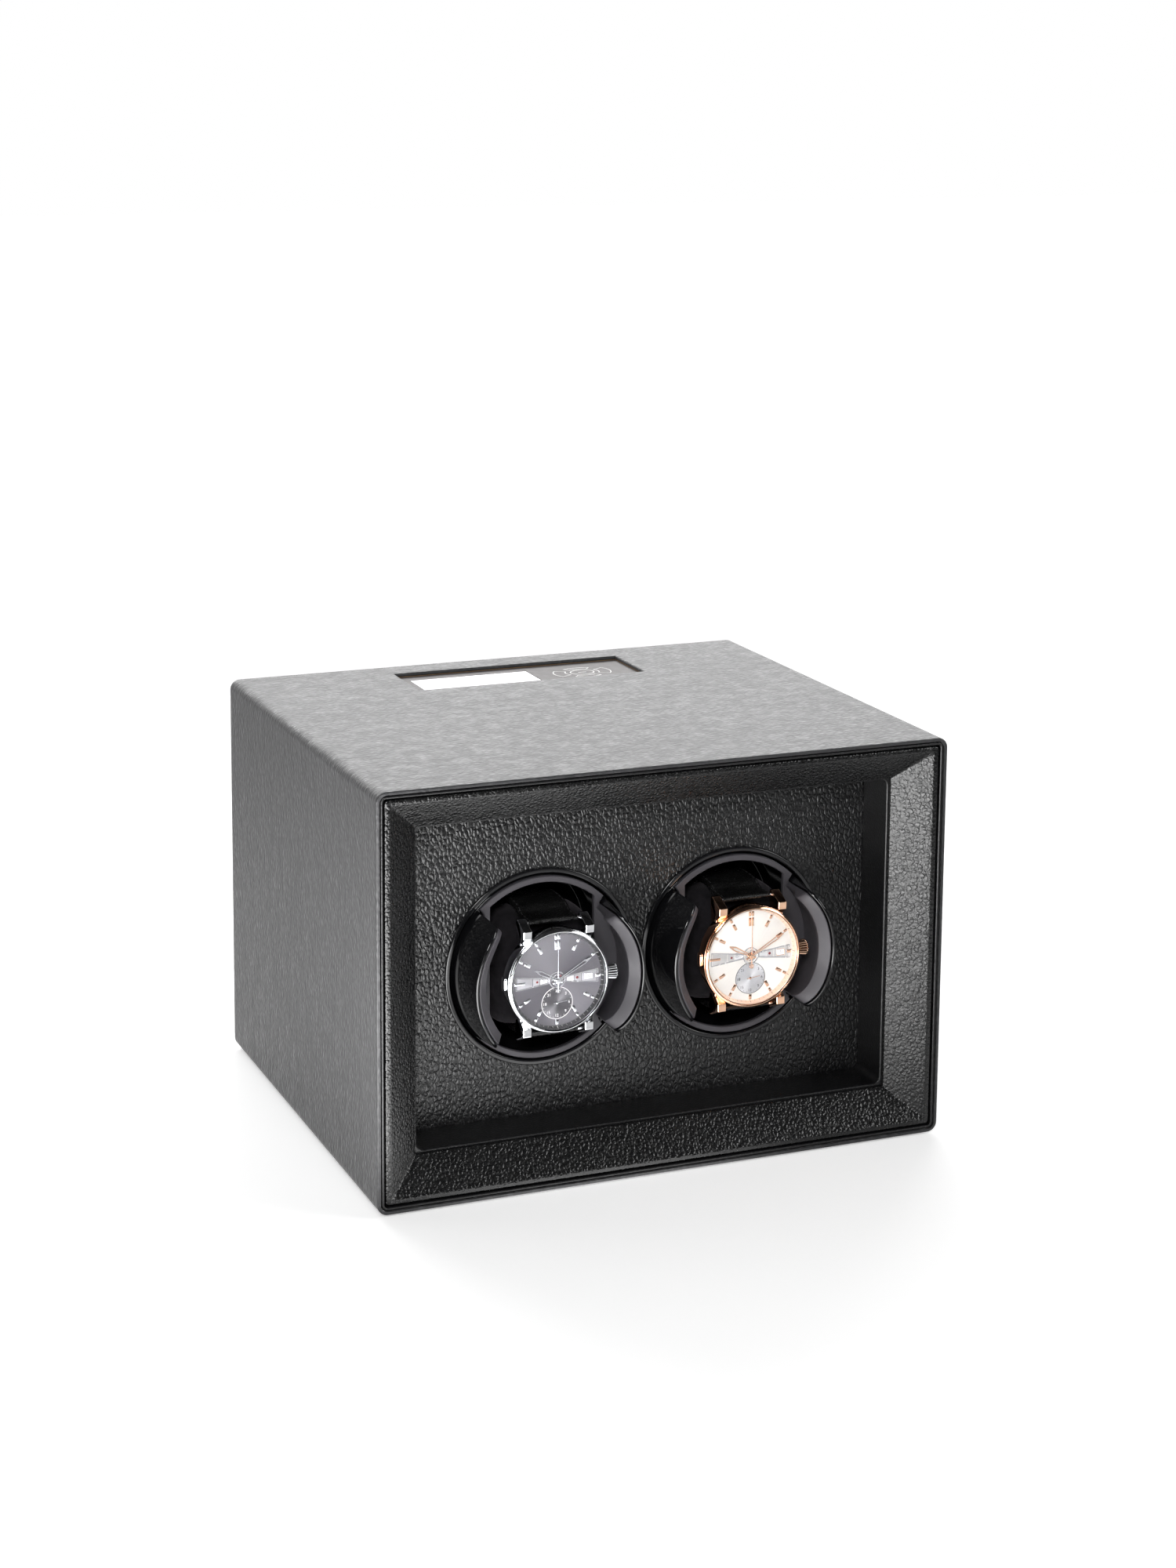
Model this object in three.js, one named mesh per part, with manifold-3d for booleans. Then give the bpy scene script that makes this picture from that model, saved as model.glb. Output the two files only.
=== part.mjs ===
// A winder box for two watches. Millimetres, +X to the right, +Y to the back, +Z up.
// The origin is on the surface the box stands on, under the middle of the case.
// "Depth" is always measured backwards from the front plane of the case.
import * as THREE from 'three';
import { mergeVertices } from 'three/addons/utils/BufferGeometryUtils.js';
import Module from 'manifold-3d';

// ---- Fits ----
const gap = 0.3; // between pieces that rest on each other
const runningGap = 0.1; // round a turning shaft
const tiny = 0.5; // how far a cutting tool overshoots

// ---- Case ----
const caseWidth = 260;
const caseDepth = 215;
const caseHeight = 180;
const footThickness = 0.9;
const footRadius = 9;
const footInset = 22;
const edgeRadius = 4.5; // along the four long edges
const leatherThickness = 1.4;
const lipRound = 0.6; // where the leather turns in at the front and back
const wallThickness = 8;
const innerCorner = 0.6;

// ---- Front frame ----
const beadInset = 1.9;
const beadWidth = 1.2;
const beadLength = 7;
const beadProud = 0.3;
const bezelInset = 3.7;
const bezelRimWidth = 2.4;
const bezelRimDepth = 0.7;
const bezelRimRound = 0.5;
const bezelSide = 20.6; // from the side of the case to the opening
const bezelTop = 19.2; // from the top or bottom of the case to the opening
const bevelDepth = 12.3;
const bezelBack = 13.6;
const bezelCorner = 1.6;

// ---- Cavity ----
const linerStep = 1; // how far the liner stands inside the bezel's opening
const linerThickness = 2.4;
const linerCorner = 3;
const panelDepth = 35.2;
const panelThickness = 5;

// ---- Rotors ----
const rotorGap = 3.2; // between the two trim rings
const rotorDrop = 3.6; // of the rotors' axes below the middle of the sleeve
const drumRadius = 40.4;
const drumWall = 2;
const drumRim = 35.3;
const drumFloor = 75;
const drumFloorThickness = 3;
const drumToTrim = 0.8;
const trimWidth = 2.2;
const trimProud = 1;
const trimSleeve = 0.5;
const rimFront = 33;
const rimThickness = 2;
const rimWidth = 2.9;
const rimClearance = 1.1; // beside the cushion, in the opening that takes it
const wingAngle = 44; // half the arc of one wing, in degrees
const wingFront = 10.4;
const wingTaper = 2.1; // of the wing's outside, from its root to its front edge
const wingRootWidth = 3.4;
const wingFlat = 13; // half the straight part of a wing's front edge
const wingHalfHeight = 27.2;
const wingShoulder = 19;
const gripLipWidth = 4.4;
const gripLipDepth = 15;
const gripLipHeight = 1.8;
const gripWall = 2.4;
const gripChamfer = 0.7;

// ---- Drive ----
const spindleRadius = 3;
const spindleEnd = 99;
const spindleHeadRadius = 5.5;
const spindleHeadHeight = 2.3;
const bushRadius = 6;
const bushFlangeRadius = 8;
const bushFlangeHeight = 1.6;
const bushLength = 8.6;
const bulkheadDepth = 90;
const bulkheadThickness = 4;
const pulleyFront = 80;
const pulleyFlange = 1.5;
const grooveWidth = 4;
const hubRadius = 12;
const beltWidth = 3.4;
const beltThickness = 1.8;
const drivenPitchRadius = 25.2;
const motorPitchRadius = 7.2;
const flangeProud = 3.1; // of the pulley flanges beyond the belt's middle
const beltSpan = 42; // between the rotor's axis and the motor's
const motorRadius = 16;
const motorLength = 34;
const motorBossRadius = 4.5;
const motorBossLength = 3;
const motorShaftRadius = 1.5;
const motorBore = 8;
const motorShaftEntry = 5;

// ---- Cushion and strap ----
const cushionHalfWidth = 22.5;
const cushionHalfHeight = 26.5;
const cushionHalfDepth = 20;
const cushionRound = 3;
const cushionPower = 2.8; // exponent of the superellipse of its side view
const strapWidth = 23.4;
const strapThickness = 2.4;
const strapEnds = 58; // degrees from straight forward to where the strap leaves the cushion

// ---- Watch ----
const watchRadius = 22.6;
const watchFront = 13.1;
const watchThickness = 10.5;
const watchBezelWidth = 1.2;
const watchSeat = 4.1; // from the bezel's front to the seat under the dial
const watchBackTaper = 2.1;
const watchBackBevel = 3;
const watchEdge = 0.4; // the small bevels of the bezel
const dialThickness = 0.6;
const crystalThickness = 0.9;
const crystalDome = 0.5;
const crystalDrop = 0.4; // of the crystal's edge behind the bezel's front
const lugClearance = 0.4; // beside the strap
const lugWidth = 3.9;
const lugBeyond = 3.8; // how far the lugs reach beyond the case
const lugRoot = 4.3; // how far they start inside its edge
const springBar = 0.4;
const crownRadius = 3.5;
const crownLength = 5.1;
const crownFlutes = 20;
const crownFluteDepth = 0.35;
const stemRadius = 0.8;
const stemLength = 2.4;
const handPostRadius = 0.4;
const handThickness = 0.2;
const handStep = 0.45;
const hourHandShort = 9.6; // from the hand's point to the dial's edge
const minuteHandShort = 3.6;
const secondsHandShort = 2.6;
const secondsHandTail = 5;
const handTail = 0.8;
const hourHandWidth = 1.6;
const minuteHandWidth = 1.3;
const secondsHandWidth = 0.5;
const handBossRadius = 1.5;
const handHoleClearance = 0.2;
const hourHandAngle = 297; // degrees clockwise from twelve
const minuteHandAngle = 61;
const secondsHandAngle = 0;

// ---- Display ----
const displayX = 2.5;
const displayFromBack = 33; // from its middle to the back of the case
const displayWidth = 113;
const displayLength = 35;
const displayRecess = 1.8;
const plateThickness = 2;
const lcdShift = 22.5; // of the screen from the middle of the display, to the left
const lcdForward = 2.7;
const lcdDrop = 0.1; // of the screen's face below the plate's
const lcdWidth = 58;
const lcdLength = 24;
const lcdThickness = 4.6;
const boardThickness = 1.6;
const displayBoardInset = 2.5;

// ---- Back and electronics ----
const rearPanelThickness = 4;
const rearRecess = 2.3;
const screwRadius = 1.6;
const screwHeadRadius = 3.5;
const screwHeadHeight = 1.7;
const screwLength = 14;
const inletFromSide = 45;
const inletHeight = 30;
const inletRadius = 5;
const inletFlangeRadius = 7;
const inletFlangeHeight = 1.5;
const inletLength = 14;
const inletBoreRadius = 3.2;
const inletBoreLength = 9;
const inletPinRadius = 1;
const inletPinDrop = 1; // of the pin's end inside the face
const controlBoardWidth = 110;
const controlBoardHeight = 70;
const controlBoardClearance = 12; // behind the board, to the rear panel

// ---- How finely round pieces are cut ----
const wideRound = 36;
const midRound = 24;
const shaftRound = 16;
const smallRound = 12;
const holeRound = 8; // half the sides of a hole in a plate
const cornerSteps = 3;

// ---- Places worked out from the sizes above ----
const frontY = -caseDepth / 2;
const sleeveBottom = footThickness + gap;
const sleeveHeight = caseHeight - sleeveBottom;
const sleeveMiddle = sleeveBottom + sleeveHeight / 2;
const carcassInset = leatherThickness + gap;
const innerInset = carcassInset + wallThickness;
const carcassFront = bezelBack + gap;
const rearFace = caseDepth - rearRecess;
const carcassBack = rearFace - rearPanelThickness - gap;
const trimRadius = drumRadius + drumToTrim;
const rotorX = trimRadius + trimWidth + rotorGap / 2;
const rotorHeight = sleeveMiddle - rotorDrop;
const wingFrontRadius = drumRadius - wingTaper;
const wingInnerRadius = drumRadius - wingRootWidth;
const drumBack = drumFloor + drumFloorThickness;
const pulleyBack = pulleyFront + 2 * pulleyFlange + grooveWidth;
const bulkheadBack = bulkheadDepth + bulkheadThickness;
const motorFront = bulkheadBack + gap;
const gripRadius = wingInnerRadius - gap;
const gripLipRadius = gripRadius - gripLipWidth;
const gripBackRadius = gripRadius - gripWall;
const watchBack = watchFront + watchThickness;
const cushionMiddle = watchBack + gap + cushionHalfDepth;
const watchSeatDepth = watchFront + watchSeat;
const dialRadius = watchRadius - watchBezelWidth - gap;
const dialFront = watchSeatDepth - gap - dialThickness;
const crownDepth = watchBack - watchBackBevel - crownRadius / 2;
const displayY = caseDepth / 2 - displayFromBack;
const lcdX = displayX - lcdShift;
const lcdY = displayY - lcdForward;
const plateTop = caseHeight - displayRecess;
const inletX = caseWidth / 2 - inletFromSide;
const degrees = Math.PI / 180;

const wasm = await Module();
wasm.setup();

// ---- Joining and cutting ----
function solidOf(geometry) {
  const bare = new THREE.BufferGeometry();
  bare.setAttribute('position', geometry.getAttribute('position'));
  if (geometry.index) bare.setIndex(geometry.index);
  const merged = mergeVertices(bare, 1e-4);
  return new wasm.Manifold(
    new wasm.Mesh({
      numProp: 3,
      vertProperties: merged.getAttribute('position').array,
      triVerts: new Uint32Array(merged.index.array),
    }),
  );
}

function geometryOf(solid) {
  const { vertProperties, triVerts } = solid.getMesh();
  const geometry = new THREE.BufferGeometry();
  geometry.setAttribute('position', new THREE.BufferAttribute(vertProperties, 3));
  geometry.setIndex(new THREE.BufferAttribute(triVerts, 1));
  return geometry;
}

function cut(geometry, ...tools) {
  let solid = solidOf(geometry);
  for (const tool of tools) solid = solid.subtract(solidOf(tool));
  return geometryOf(solid);
}

function joined(geometry, ...others) {
  let solid = solidOf(geometry);
  for (const other of others) solid = solid.add(solidOf(other));
  return geometryOf(solid);
}

function common(geometry, ...others) {
  let solid = solidOf(geometry);
  for (const other of others) solid = solid.intersect(solidOf(other));
  return geometryOf(solid);
}

// ---- Basic forms ----
// A profile of [radius, depth] points turned about an axis along Y through the origin.
function turned(profile, segments = midRound) {
  const points = profile.map(([radius, depth]) => new THREE.Vector2(radius, frontY + depth));
  const onAxis = points[0].x === 0 && points[points.length - 1].x === 0;
  if (!onAxis) points.push(points[0].clone());
  if (THREE.ShapeUtils.area(points) < 0) points.reverse();
  return new THREE.LatheGeometry(points, segments);
}

function disc(radius, depth, length, segments = smallRound) {
  return turned([[0, depth], [radius, depth], [radius, depth + length], [0, depth + length]], segments);
}

// An outline in the XZ plane carried from one depth to another.
function alongY(shape, depth, length, curveSegments = 12) {
  const geometry = new THREE.ExtrudeGeometry(shape, { depth: length, bevelEnabled: false, curveSegments });
  geometry.rotateX(Math.PI / 2);
  return geometry.translate(0, frontY + depth + length, 0);
}

// An outline whose first coordinate is depth and whose second is height, carried along X.
function alongX(shape, x, width, settings = {}) {
  const options = { depth: width, bevelEnabled: false, curveSegments: 6, ...settings };
  const geometry = new THREE.ExtrudeGeometry(shape, options);
  const basis = new THREE.Matrix4().makeBasis(
    new THREE.Vector3(0, 1, 0),
    new THREE.Vector3(0, 0, 1),
    new THREE.Vector3(1, 0, 0),
  );
  return geometry.applyMatrix4(basis).translate(x, frontY, 0);
}

function polygon(points) {
  return new THREE.Shape(points.map(([a, b]) => new THREE.Vector2(a, b)));
}

function block(width, depth, height, x, y, z) {
  return new THREE.BoxGeometry(width, depth, height).translate(x, y, z);
}

// A frame round the case. Each profile point is [inset at the sides, inset at top and
// bottom, depth, corner radius]; the closed profile is carried round a rounded rectangle.
function frameOf(profile) {
  const quarter = Math.PI / 2;
  const ringSize = 4 * (cornerSteps + 1);
  const places = [];
  for (const [insetX, insetZ, depth, radius] of profile) {
    const halfX = caseWidth / 2 - insetX - radius;
    const halfZ = sleeveHeight / 2 - insetZ - radius;
    for (let corner = 0; corner < 4; corner += 1) {
      const signX = corner === 0 || corner === 3 ? 1 : -1;
      const signZ = corner < 2 ? 1 : -1;
      for (let step = 0; step <= cornerSteps; step += 1) {
        const angle = (corner + step / cornerSteps) * quarter;
        const x = signX * halfX + radius * Math.cos(angle);
        const z = signZ * halfZ + radius * Math.sin(angle);
        places.push(x, frontY + depth, sleeveMiddle + z);
      }
    }
  }
  const faces = [];
  for (let row = 0; row < profile.length; row += 1) {
    const nextRow = (row + 1) % profile.length;
    for (let column = 0; column < ringSize; column += 1) {
      const nextColumn = (column + 1) % ringSize;
      const a = row * ringSize + column;
      const b = row * ringSize + nextColumn;
      const c = nextRow * ringSize + nextColumn;
      const d = nextRow * ringSize + column;
      faces.push(a, c, b, a, d, c);
    }
  }
  const geometry = new THREE.BufferGeometry();
  geometry.setAttribute('position', new THREE.Float32BufferAttribute(places, 3));
  geometry.setIndex(faces);
  return geometry;
}

// A plate that fills the case between its side walls.
function partition(depth, thickness, holes, curveSegments) {
  const halfX = caseWidth / 2 - innerInset - gap;
  const halfZ = sleeveHeight / 2 - innerInset - gap;
  const outline = polygon([
    [-halfX, sleeveMiddle - halfZ],
    [halfX, sleeveMiddle - halfZ],
    [halfX, sleeveMiddle + halfZ],
    [-halfX, sleeveMiddle + halfZ],
  ]);
  for (const [x, z, radius] of holes) {
    outline.holes.push(new THREE.Path().absarc(x, z, radius, 0, 2 * Math.PI, true));
  }
  return alongY(outline, depth, thickness, curveSegments);
}

// A straight-sided sector about the Y axis, wide enough to cut a rotor's wing.
function sector(side, halfAngle, depth, length) {
  const reach = 2 * drumRadius;
  const across = side * reach * Math.cos(halfAngle * degrees);
  const up = reach * Math.sin(halfAngle * degrees);
  return alongY(polygon([[0, 0], [across, -up], [across, up]]), depth, length);
}

// The side view of a wing: a straight front edge that falls away to both ends.
function wingOutline(front, halfHeight) {
  const outline = new THREE.Shape();
  outline.moveTo(front, -wingFlat);
  outline.lineTo(front, wingFlat);
  outline.quadraticCurveTo(front, halfHeight, wingShoulder, halfHeight);
  outline.lineTo(drumRim + rimThickness, halfHeight);
  outline.lineTo(drumRim + rimThickness, -halfHeight);
  outline.lineTo(wingShoulder, -halfHeight);
  outline.quadraticCurveTo(front, -halfHeight, front, -wingFlat);
  return outline;
}

// A point [depth, height] on the cushion's side view, grown outwards by offset.
function cushionPoint(angle, offset) {
  const across = Math.cos(angle);
  const up = Math.sin(angle);
  const power = 2 / cushionPower;
  const depth = Math.sign(across) * Math.abs(across) ** power * (cushionHalfDepth + offset);
  const height = Math.sign(up) * Math.abs(up) ** power * (cushionHalfHeight + offset);
  return [cushionMiddle - depth, height];
}

// ---- Assembly ----
const winder = new THREE.Group();

function add(parent, name, geometry, colour, roughness, metalness = 0) {
  const material = new THREE.MeshStandardMaterial({ color: colour, roughness, metalness });
  const mesh = new THREE.Mesh(geometry, material);
  mesh.name = name;
  parent.add(mesh);
}

// ---- Case ----
function displayCut(clearance) {
  const height = wallThickness * 3;
  const width = displayWidth + 2 * clearance;
  const length = displayLength + 2 * clearance;
  return block(width, length, height, displayX, displayY, caseHeight - height / 3);
}

function screwPlaces() {
  const inset = carcassInset + wallThickness / 2;
  const halfX = caseWidth / 2 - inset;
  const halfZ = sleeveHeight / 2 - inset;
  return [[-1, -1], [1, -1], [1, 1], [-1, 1]].map(([a, b]) => [a * halfX, sleeveMiddle + b * halfZ]);
}

function leatherCover() {
  const inside = Math.max(edgeRadius - leatherThickness, innerCorner);
  const sleeve = frameOf([
    [leatherThickness, leatherThickness, 0, inside],
    [lipRound, lipRound, 0, edgeRadius - lipRound],
    [0, 0, lipRound, edgeRadius],
    [0, 0, caseDepth - lipRound, edgeRadius],
    [lipRound, lipRound, caseDepth, edgeRadius - lipRound],
    [leatherThickness, leatherThickness, caseDepth, inside],
  ]);
  return cut(sleeve, displayCut(0));
}

function caseCarcass() {
  const outside = Math.max(edgeRadius - carcassInset, innerCorner);
  const box = frameOf([
    [innerInset, innerInset, carcassFront, innerCorner],
    [carcassInset, carcassInset, carcassFront, outside],
    [carcassInset, carcassInset, carcassBack, outside],
    [innerInset, innerInset, carcassBack, innerCorner],
  ]);
  const pilotDepth = screwLength + gap;
  const pilots = screwPlaces().map(([x, z]) =>
    disc(screwRadius + gap, rearFace - pilotDepth, pilotDepth).translate(x, 0, z),
  );
  return cut(box, displayCut(0), ...pilots);
}

function rearPanel() {
  const halfX = caseWidth / 2 - carcassInset;
  const halfZ = sleeveHeight / 2 - carcassInset;
  const corner = Math.max(edgeRadius - carcassInset, innerCorner);
  const x = halfX - corner;
  const z = halfZ - corner;
  const outline = new THREE.Shape();
  outline.absarc(x, sleeveMiddle + z, corner, 0, 90 * degrees, false);
  outline.absarc(-x, sleeveMiddle + z, corner, 90 * degrees, 180 * degrees, false);
  outline.absarc(-x, sleeveMiddle - z, corner, 180 * degrees, 270 * degrees, false);
  outline.absarc(x, sleeveMiddle - z, corner, 270 * degrees, 360 * degrees, false);
  for (const [holeX, holeZ] of screwPlaces()) {
    outline.holes.push(new THREE.Path().absarc(holeX, holeZ, screwRadius + gap, 0, 2 * Math.PI, true));
  }
  outline.holes.push(new THREE.Path().absarc(inletX, inletHeight, inletRadius + gap, 0, 2 * Math.PI, true));
  return alongY(outline, rearFace - rearPanelThickness, rearPanelThickness, 6);
}

function rearScrew() {
  const head = rearFace + gap;
  return turned(
    [
      [0, head - screwLength],
      [screwRadius, head - screwLength],
      [screwRadius, head],
      [screwHeadRadius, head],
      [screwHeadRadius * 0.8, head + screwHeadHeight],
      [0, head + screwHeadHeight],
    ],
    smallRound,
  );
}

function frontBezel() {
  const side = (inset) => bezelSide - inset;
  const top = (inset) => bezelTop - inset;
  const bevelWidth = bezelSide - bezelInset - bezelRimWidth;
  const topRim = bezelTop - bezelSide + bevelWidth; // keeps both rims equally wide
  return frameOf([
    [side(0), top(0), bezelBack, innerCorner],
    [side(0), top(0), bevelDepth, innerCorner],
    [side(bevelWidth), top(topRim), bezelRimDepth, innerCorner],
    [bezelInset + bezelRimRound, bezelInset + bezelRimRound, bezelRimDepth, bezelCorner - bezelRimRound],
    [bezelInset, bezelInset, bezelRimDepth + bezelRimRound, bezelCorner],
    [bezelInset, bezelInset, bezelBack, bezelCorner],
  ]);
}

function pipingBead() {
  const outer = beadInset;
  const inner = beadInset + beadWidth;
  const middle = beadInset + beadWidth / 2;
  const radius = edgeRadius - beadInset;
  const back = beadProud + beadLength;
  return frameOf([
    [inner, inner, back, radius - beadWidth],
    [inner, inner, beadProud + beadWidth / 2, radius - beadWidth],
    [middle, middle, beadProud, radius - beadWidth / 2],
    [outer, outer, beadProud + beadWidth / 2, radius],
    [outer, outer, back, radius],
  ]);
}

function cavityLiner() {
  const inside = linerStep;
  const outside = linerStep - linerThickness;
  const back = panelDepth - gap;
  return frameOf([
    [bezelSide + inside, bezelTop + inside, back, linerCorner],
    [bezelSide + inside, bezelTop + inside, carcassFront, linerCorner],
    [bezelSide + outside, bezelTop + outside, carcassFront, linerCorner + linerThickness],
    [bezelSide + outside, bezelTop + outside, back, linerCorner + linerThickness],
  ]);
}

function buildCase() {
  const black = 0x15151a;
  add(winder, 'leather_cover', leatherCover(), 0x1c1c1f, 0.55);
  add(winder, 'case_carcass', caseCarcass(), 0x6b5540, 0.8);
  add(winder, 'rear_panel', rearPanel(), black, 0.7);
  screwPlaces().forEach(([x, z], index) => {
    add(winder, `rear_screw_${index + 1}`, rearScrew().translate(x, 0, z), 0x303034, 0.4, 0.9);
  });
  add(winder, 'front_bezel', frontBezel(), 0x101012, 0.4);
  add(winder, 'piping_bead', pipingBead(), 0x101012, 0.4);
  add(winder, 'cavity_liner', cavityLiner(), 0x0c0c0e, 0.35);
  const footX = caseWidth / 2 - footInset;
  const footY = caseDepth / 2 - footInset;
  [[-1, -1], [1, -1], [1, 1], [-1, 1]].forEach(([a, b], index) => {
    const pad = new THREE.CylinderGeometry(footRadius, footRadius, footThickness, smallRound);
    pad.rotateX(Math.PI / 2).translate(a * footX, b * footY, footThickness / 2);
    add(winder, `foot_${index + 1}`, pad, 0x202022, 0.9);
  });
}

// ---- Rotor panel, bulkhead and the parts they carry ----
function rotorPanel() {
  const hole = trimRadius + trimSleeve + gap;
  const places = [-1, 1].map((side) => [side * rotorX, rotorHeight, hole]);
  return partition(panelDepth, panelThickness, places, wideRound / 2);
}

function motorBulkhead() {
  const holes = [];
  for (const side of [-1, 1]) {
    const x = side * rotorX;
    holes.push([x, rotorHeight, bushRadius + gap], [x, rotorHeight - beltSpan, motorBossRadius + gap]);
  }
  return partition(bulkheadDepth, bulkheadThickness, holes, holeRound);
}

function trimRing() {
  const face = panelDepth - gap;
  return turned(
    [
      [trimRadius, face - trimProud],
      [trimRadius + trimWidth - trimSleeve, face - trimProud],
      [trimRadius + trimWidth, face - trimProud / 2],
      [trimRadius + trimWidth, face],
      [trimRadius + trimSleeve, face],
      [trimRadius + trimSleeve, panelDepth + panelThickness],
      [trimRadius, panelDepth + panelThickness],
    ],
    wideRound,
  );
}

function bearing() {
  const face = bulkheadDepth - gap - bushFlangeHeight;
  const bore = spindleRadius + runningGap;
  return turned(
    [
      [bore, face],
      [bushFlangeRadius, face],
      [bushFlangeRadius, face + bushFlangeHeight],
      [bushRadius, face + bushFlangeHeight],
      [bushRadius, face + bushLength],
      [bore, face + bushLength],
    ],
    shaftRound,
  );
}

function motor() {
  const bore = motorShaftRadius + gap;
  const bossFront = motorFront - motorBossLength;
  const boreEnd = motorFront + motorBore;
  const back = motorFront + motorLength;
  return turned(
    [
      [0, boreEnd],
      [bore, boreEnd],
      [bore, bossFront],
      [motorBossRadius, bossFront],
      [motorBossRadius, motorFront],
      [motorRadius, motorFront],
      [motorRadius, back],
      [0, back],
    ],
    smallRound,
  );
}

// The steps of a flanged pulley's rim, from its front face to its back.
function pulleyRim(pitchRadius) {
  const groove = pitchRadius - beltThickness / 2 - gap;
  const flange = pitchRadius + flangeProud;
  return [
    [flange, pulleyFront],
    [flange, pulleyFront + pulleyFlange],
    [groove, pulleyFront + pulleyFlange],
    [groove, pulleyBack - pulleyFlange],
    [flange, pulleyBack - pulleyFlange],
    [flange, pulleyBack],
  ];
}

function motorPulley() {
  const shaftEnd = motorFront + motorShaftEntry;
  return turned(
    [
      [0, pulleyFront],
      ...pulleyRim(motorPitchRadius),
      [motorShaftRadius, pulleyBack],
      [motorShaftRadius, shaftEnd],
      [0, shaftEnd],
    ],
    smallRound,
  );
}

// The line of a belt round the rotor's pulley and, straight below it, the motor's.
function beltLine(path, offset, clockwise) {
  const lean = Math.asin((drivenPitchRadius - motorPitchRadius) / beltSpan);
  const upper = drivenPitchRadius + offset;
  const lower = motorPitchRadius + offset;
  if (clockwise) {
    path.absarc(0, 0, upper, Math.PI + lean, -lean, true);
    path.absarc(0, -beltSpan, lower, -lean, Math.PI + lean, true);
  } else {
    path.absarc(0, 0, upper, -lean, Math.PI + lean, false);
    path.absarc(0, -beltSpan, lower, Math.PI + lean, 2 * Math.PI - lean, false);
  }
  path.closePath();
  return path;
}

function belt() {
  const outline = beltLine(new THREE.Shape(), beltThickness / 2, false);
  outline.holes.push(beltLine(new THREE.Path(), -beltThickness / 2, true));
  const slack = (grooveWidth - beltWidth) / 2;
  return alongY(outline, pulleyFront + pulleyFlange + slack, beltWidth, holeRound);
}

// ---- Rotor ----
function drum() {
  const bore = spindleRadius + gap;
  const inner = drumRadius - drumWall;
  const cup = turned(
    [
      [bore, drumFloor],
      [inner, drumFloor],
      [inner, drumRim],
      [drumRadius, drumRim],
      [drumRadius, drumBack],
      [hubRadius, drumBack],
      [hubRadius, pulleyFront],
      ...pulleyRim(drivenPitchRadius),
      [bore, pulleyBack],
    ],
    midRound,
  );
  const root = drumRim + rimThickness;
  const wingRing = turned(
    [
      [wingInnerRadius, wingFront - tiny],
      [wingFrontRadius, wingFront - tiny],
      [drumRadius, root],
      [wingInnerRadius, root],
    ],
    wideRound,
  );
  const outline = alongX(wingOutline(wingFront, wingHalfHeight), -drumRadius - tiny, 2 * (drumRadius + tiny));
  const wings = [-1, 1].map((side) => common(wingRing, outline, sector(side, wingAngle, 0, root)));
  return joined(cup, ...wings);
}

function rimRing() {
  const outer = drumRadius - gap;
  const inner = drumRadius - rimWidth;
  const slotInner = wingInnerRadius - gap;
  const slot = (wingAngle + 1) * degrees;
  const half = Math.PI / 2;
  const outline = new THREE.Shape();
  outline.absarc(0, 0, outer, slot, 2 * half - slot, false);
  outline.absarc(0, 0, slotInner, 2 * half - slot, 2 * half + slot, false);
  outline.absarc(0, 0, outer, 2 * half + slot, 4 * half - slot, false);
  outline.absarc(0, 0, slotInner, 4 * half - slot, 4 * half + slot, false);
  outline.closePath();
  const corner = Math.acos((cushionHalfWidth + rimClearance) / inner);
  const opening = new THREE.Path();
  opening.absarc(0, 0, inner, 2 * half - corner, corner, true);
  opening.absarc(0, 0, inner, -corner, corner - 2 * half, true);
  opening.closePath();
  outline.holes.push(opening);
  return alongY(outline, rimFront, rimThickness, holeRound);
}

function grip(side) {
  const back = rimFront - gap;
  const lipBack = gripLipDepth + gripLipHeight;
  const ring = turned(
    [
      [gripRadius, wingFront + 2 * gripChamfer],
      [gripRadius - gripChamfer, wingFront + gripChamfer],
      [gripLipRadius, gripLipDepth],
      [gripLipRadius, lipBack],
      [gripBackRadius, lipBack + gripBackRadius - gripLipRadius],
      [gripBackRadius, back],
      [gripRadius, back],
    ],
    wideRound,
  );
  const outline = wingOutline(wingFront + gripChamfer, wingHalfHeight);
  const view = alongX(outline, -drumRadius, 2 * drumRadius);
  return common(ring, view, sector(side, wingAngle, 0, drumFloor));
}

function spindle() {
  const head = drumFloor - gap - spindleHeadHeight;
  return turned(
    [
      [0, head],
      [spindleHeadRadius, head],
      [spindleHeadRadius, head + spindleHeadHeight],
      [spindleRadius, head + spindleHeadHeight],
      [spindleRadius, spindleEnd],
      [0, spindleEnd],
    ],
    shaftRound,
  );
}

// ---- Cushion, strap and watch ----
function cushion() {
  const steps = 28;
  const points = [];
  for (let step = 0; step < steps; step += 1) {
    const point = cushionPoint((-step / steps) * 2 * Math.PI, -cushionRound);
    points.push(point);
  }
  const settings = {
    bevelEnabled: true,
    bevelSize: cushionRound,
    bevelThickness: cushionRound,
    bevelSegments: 1,
  };
  const width = 2 * (cushionHalfWidth - cushionRound);
  return alongX(polygon(points), -width / 2, width, settings);
}

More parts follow.
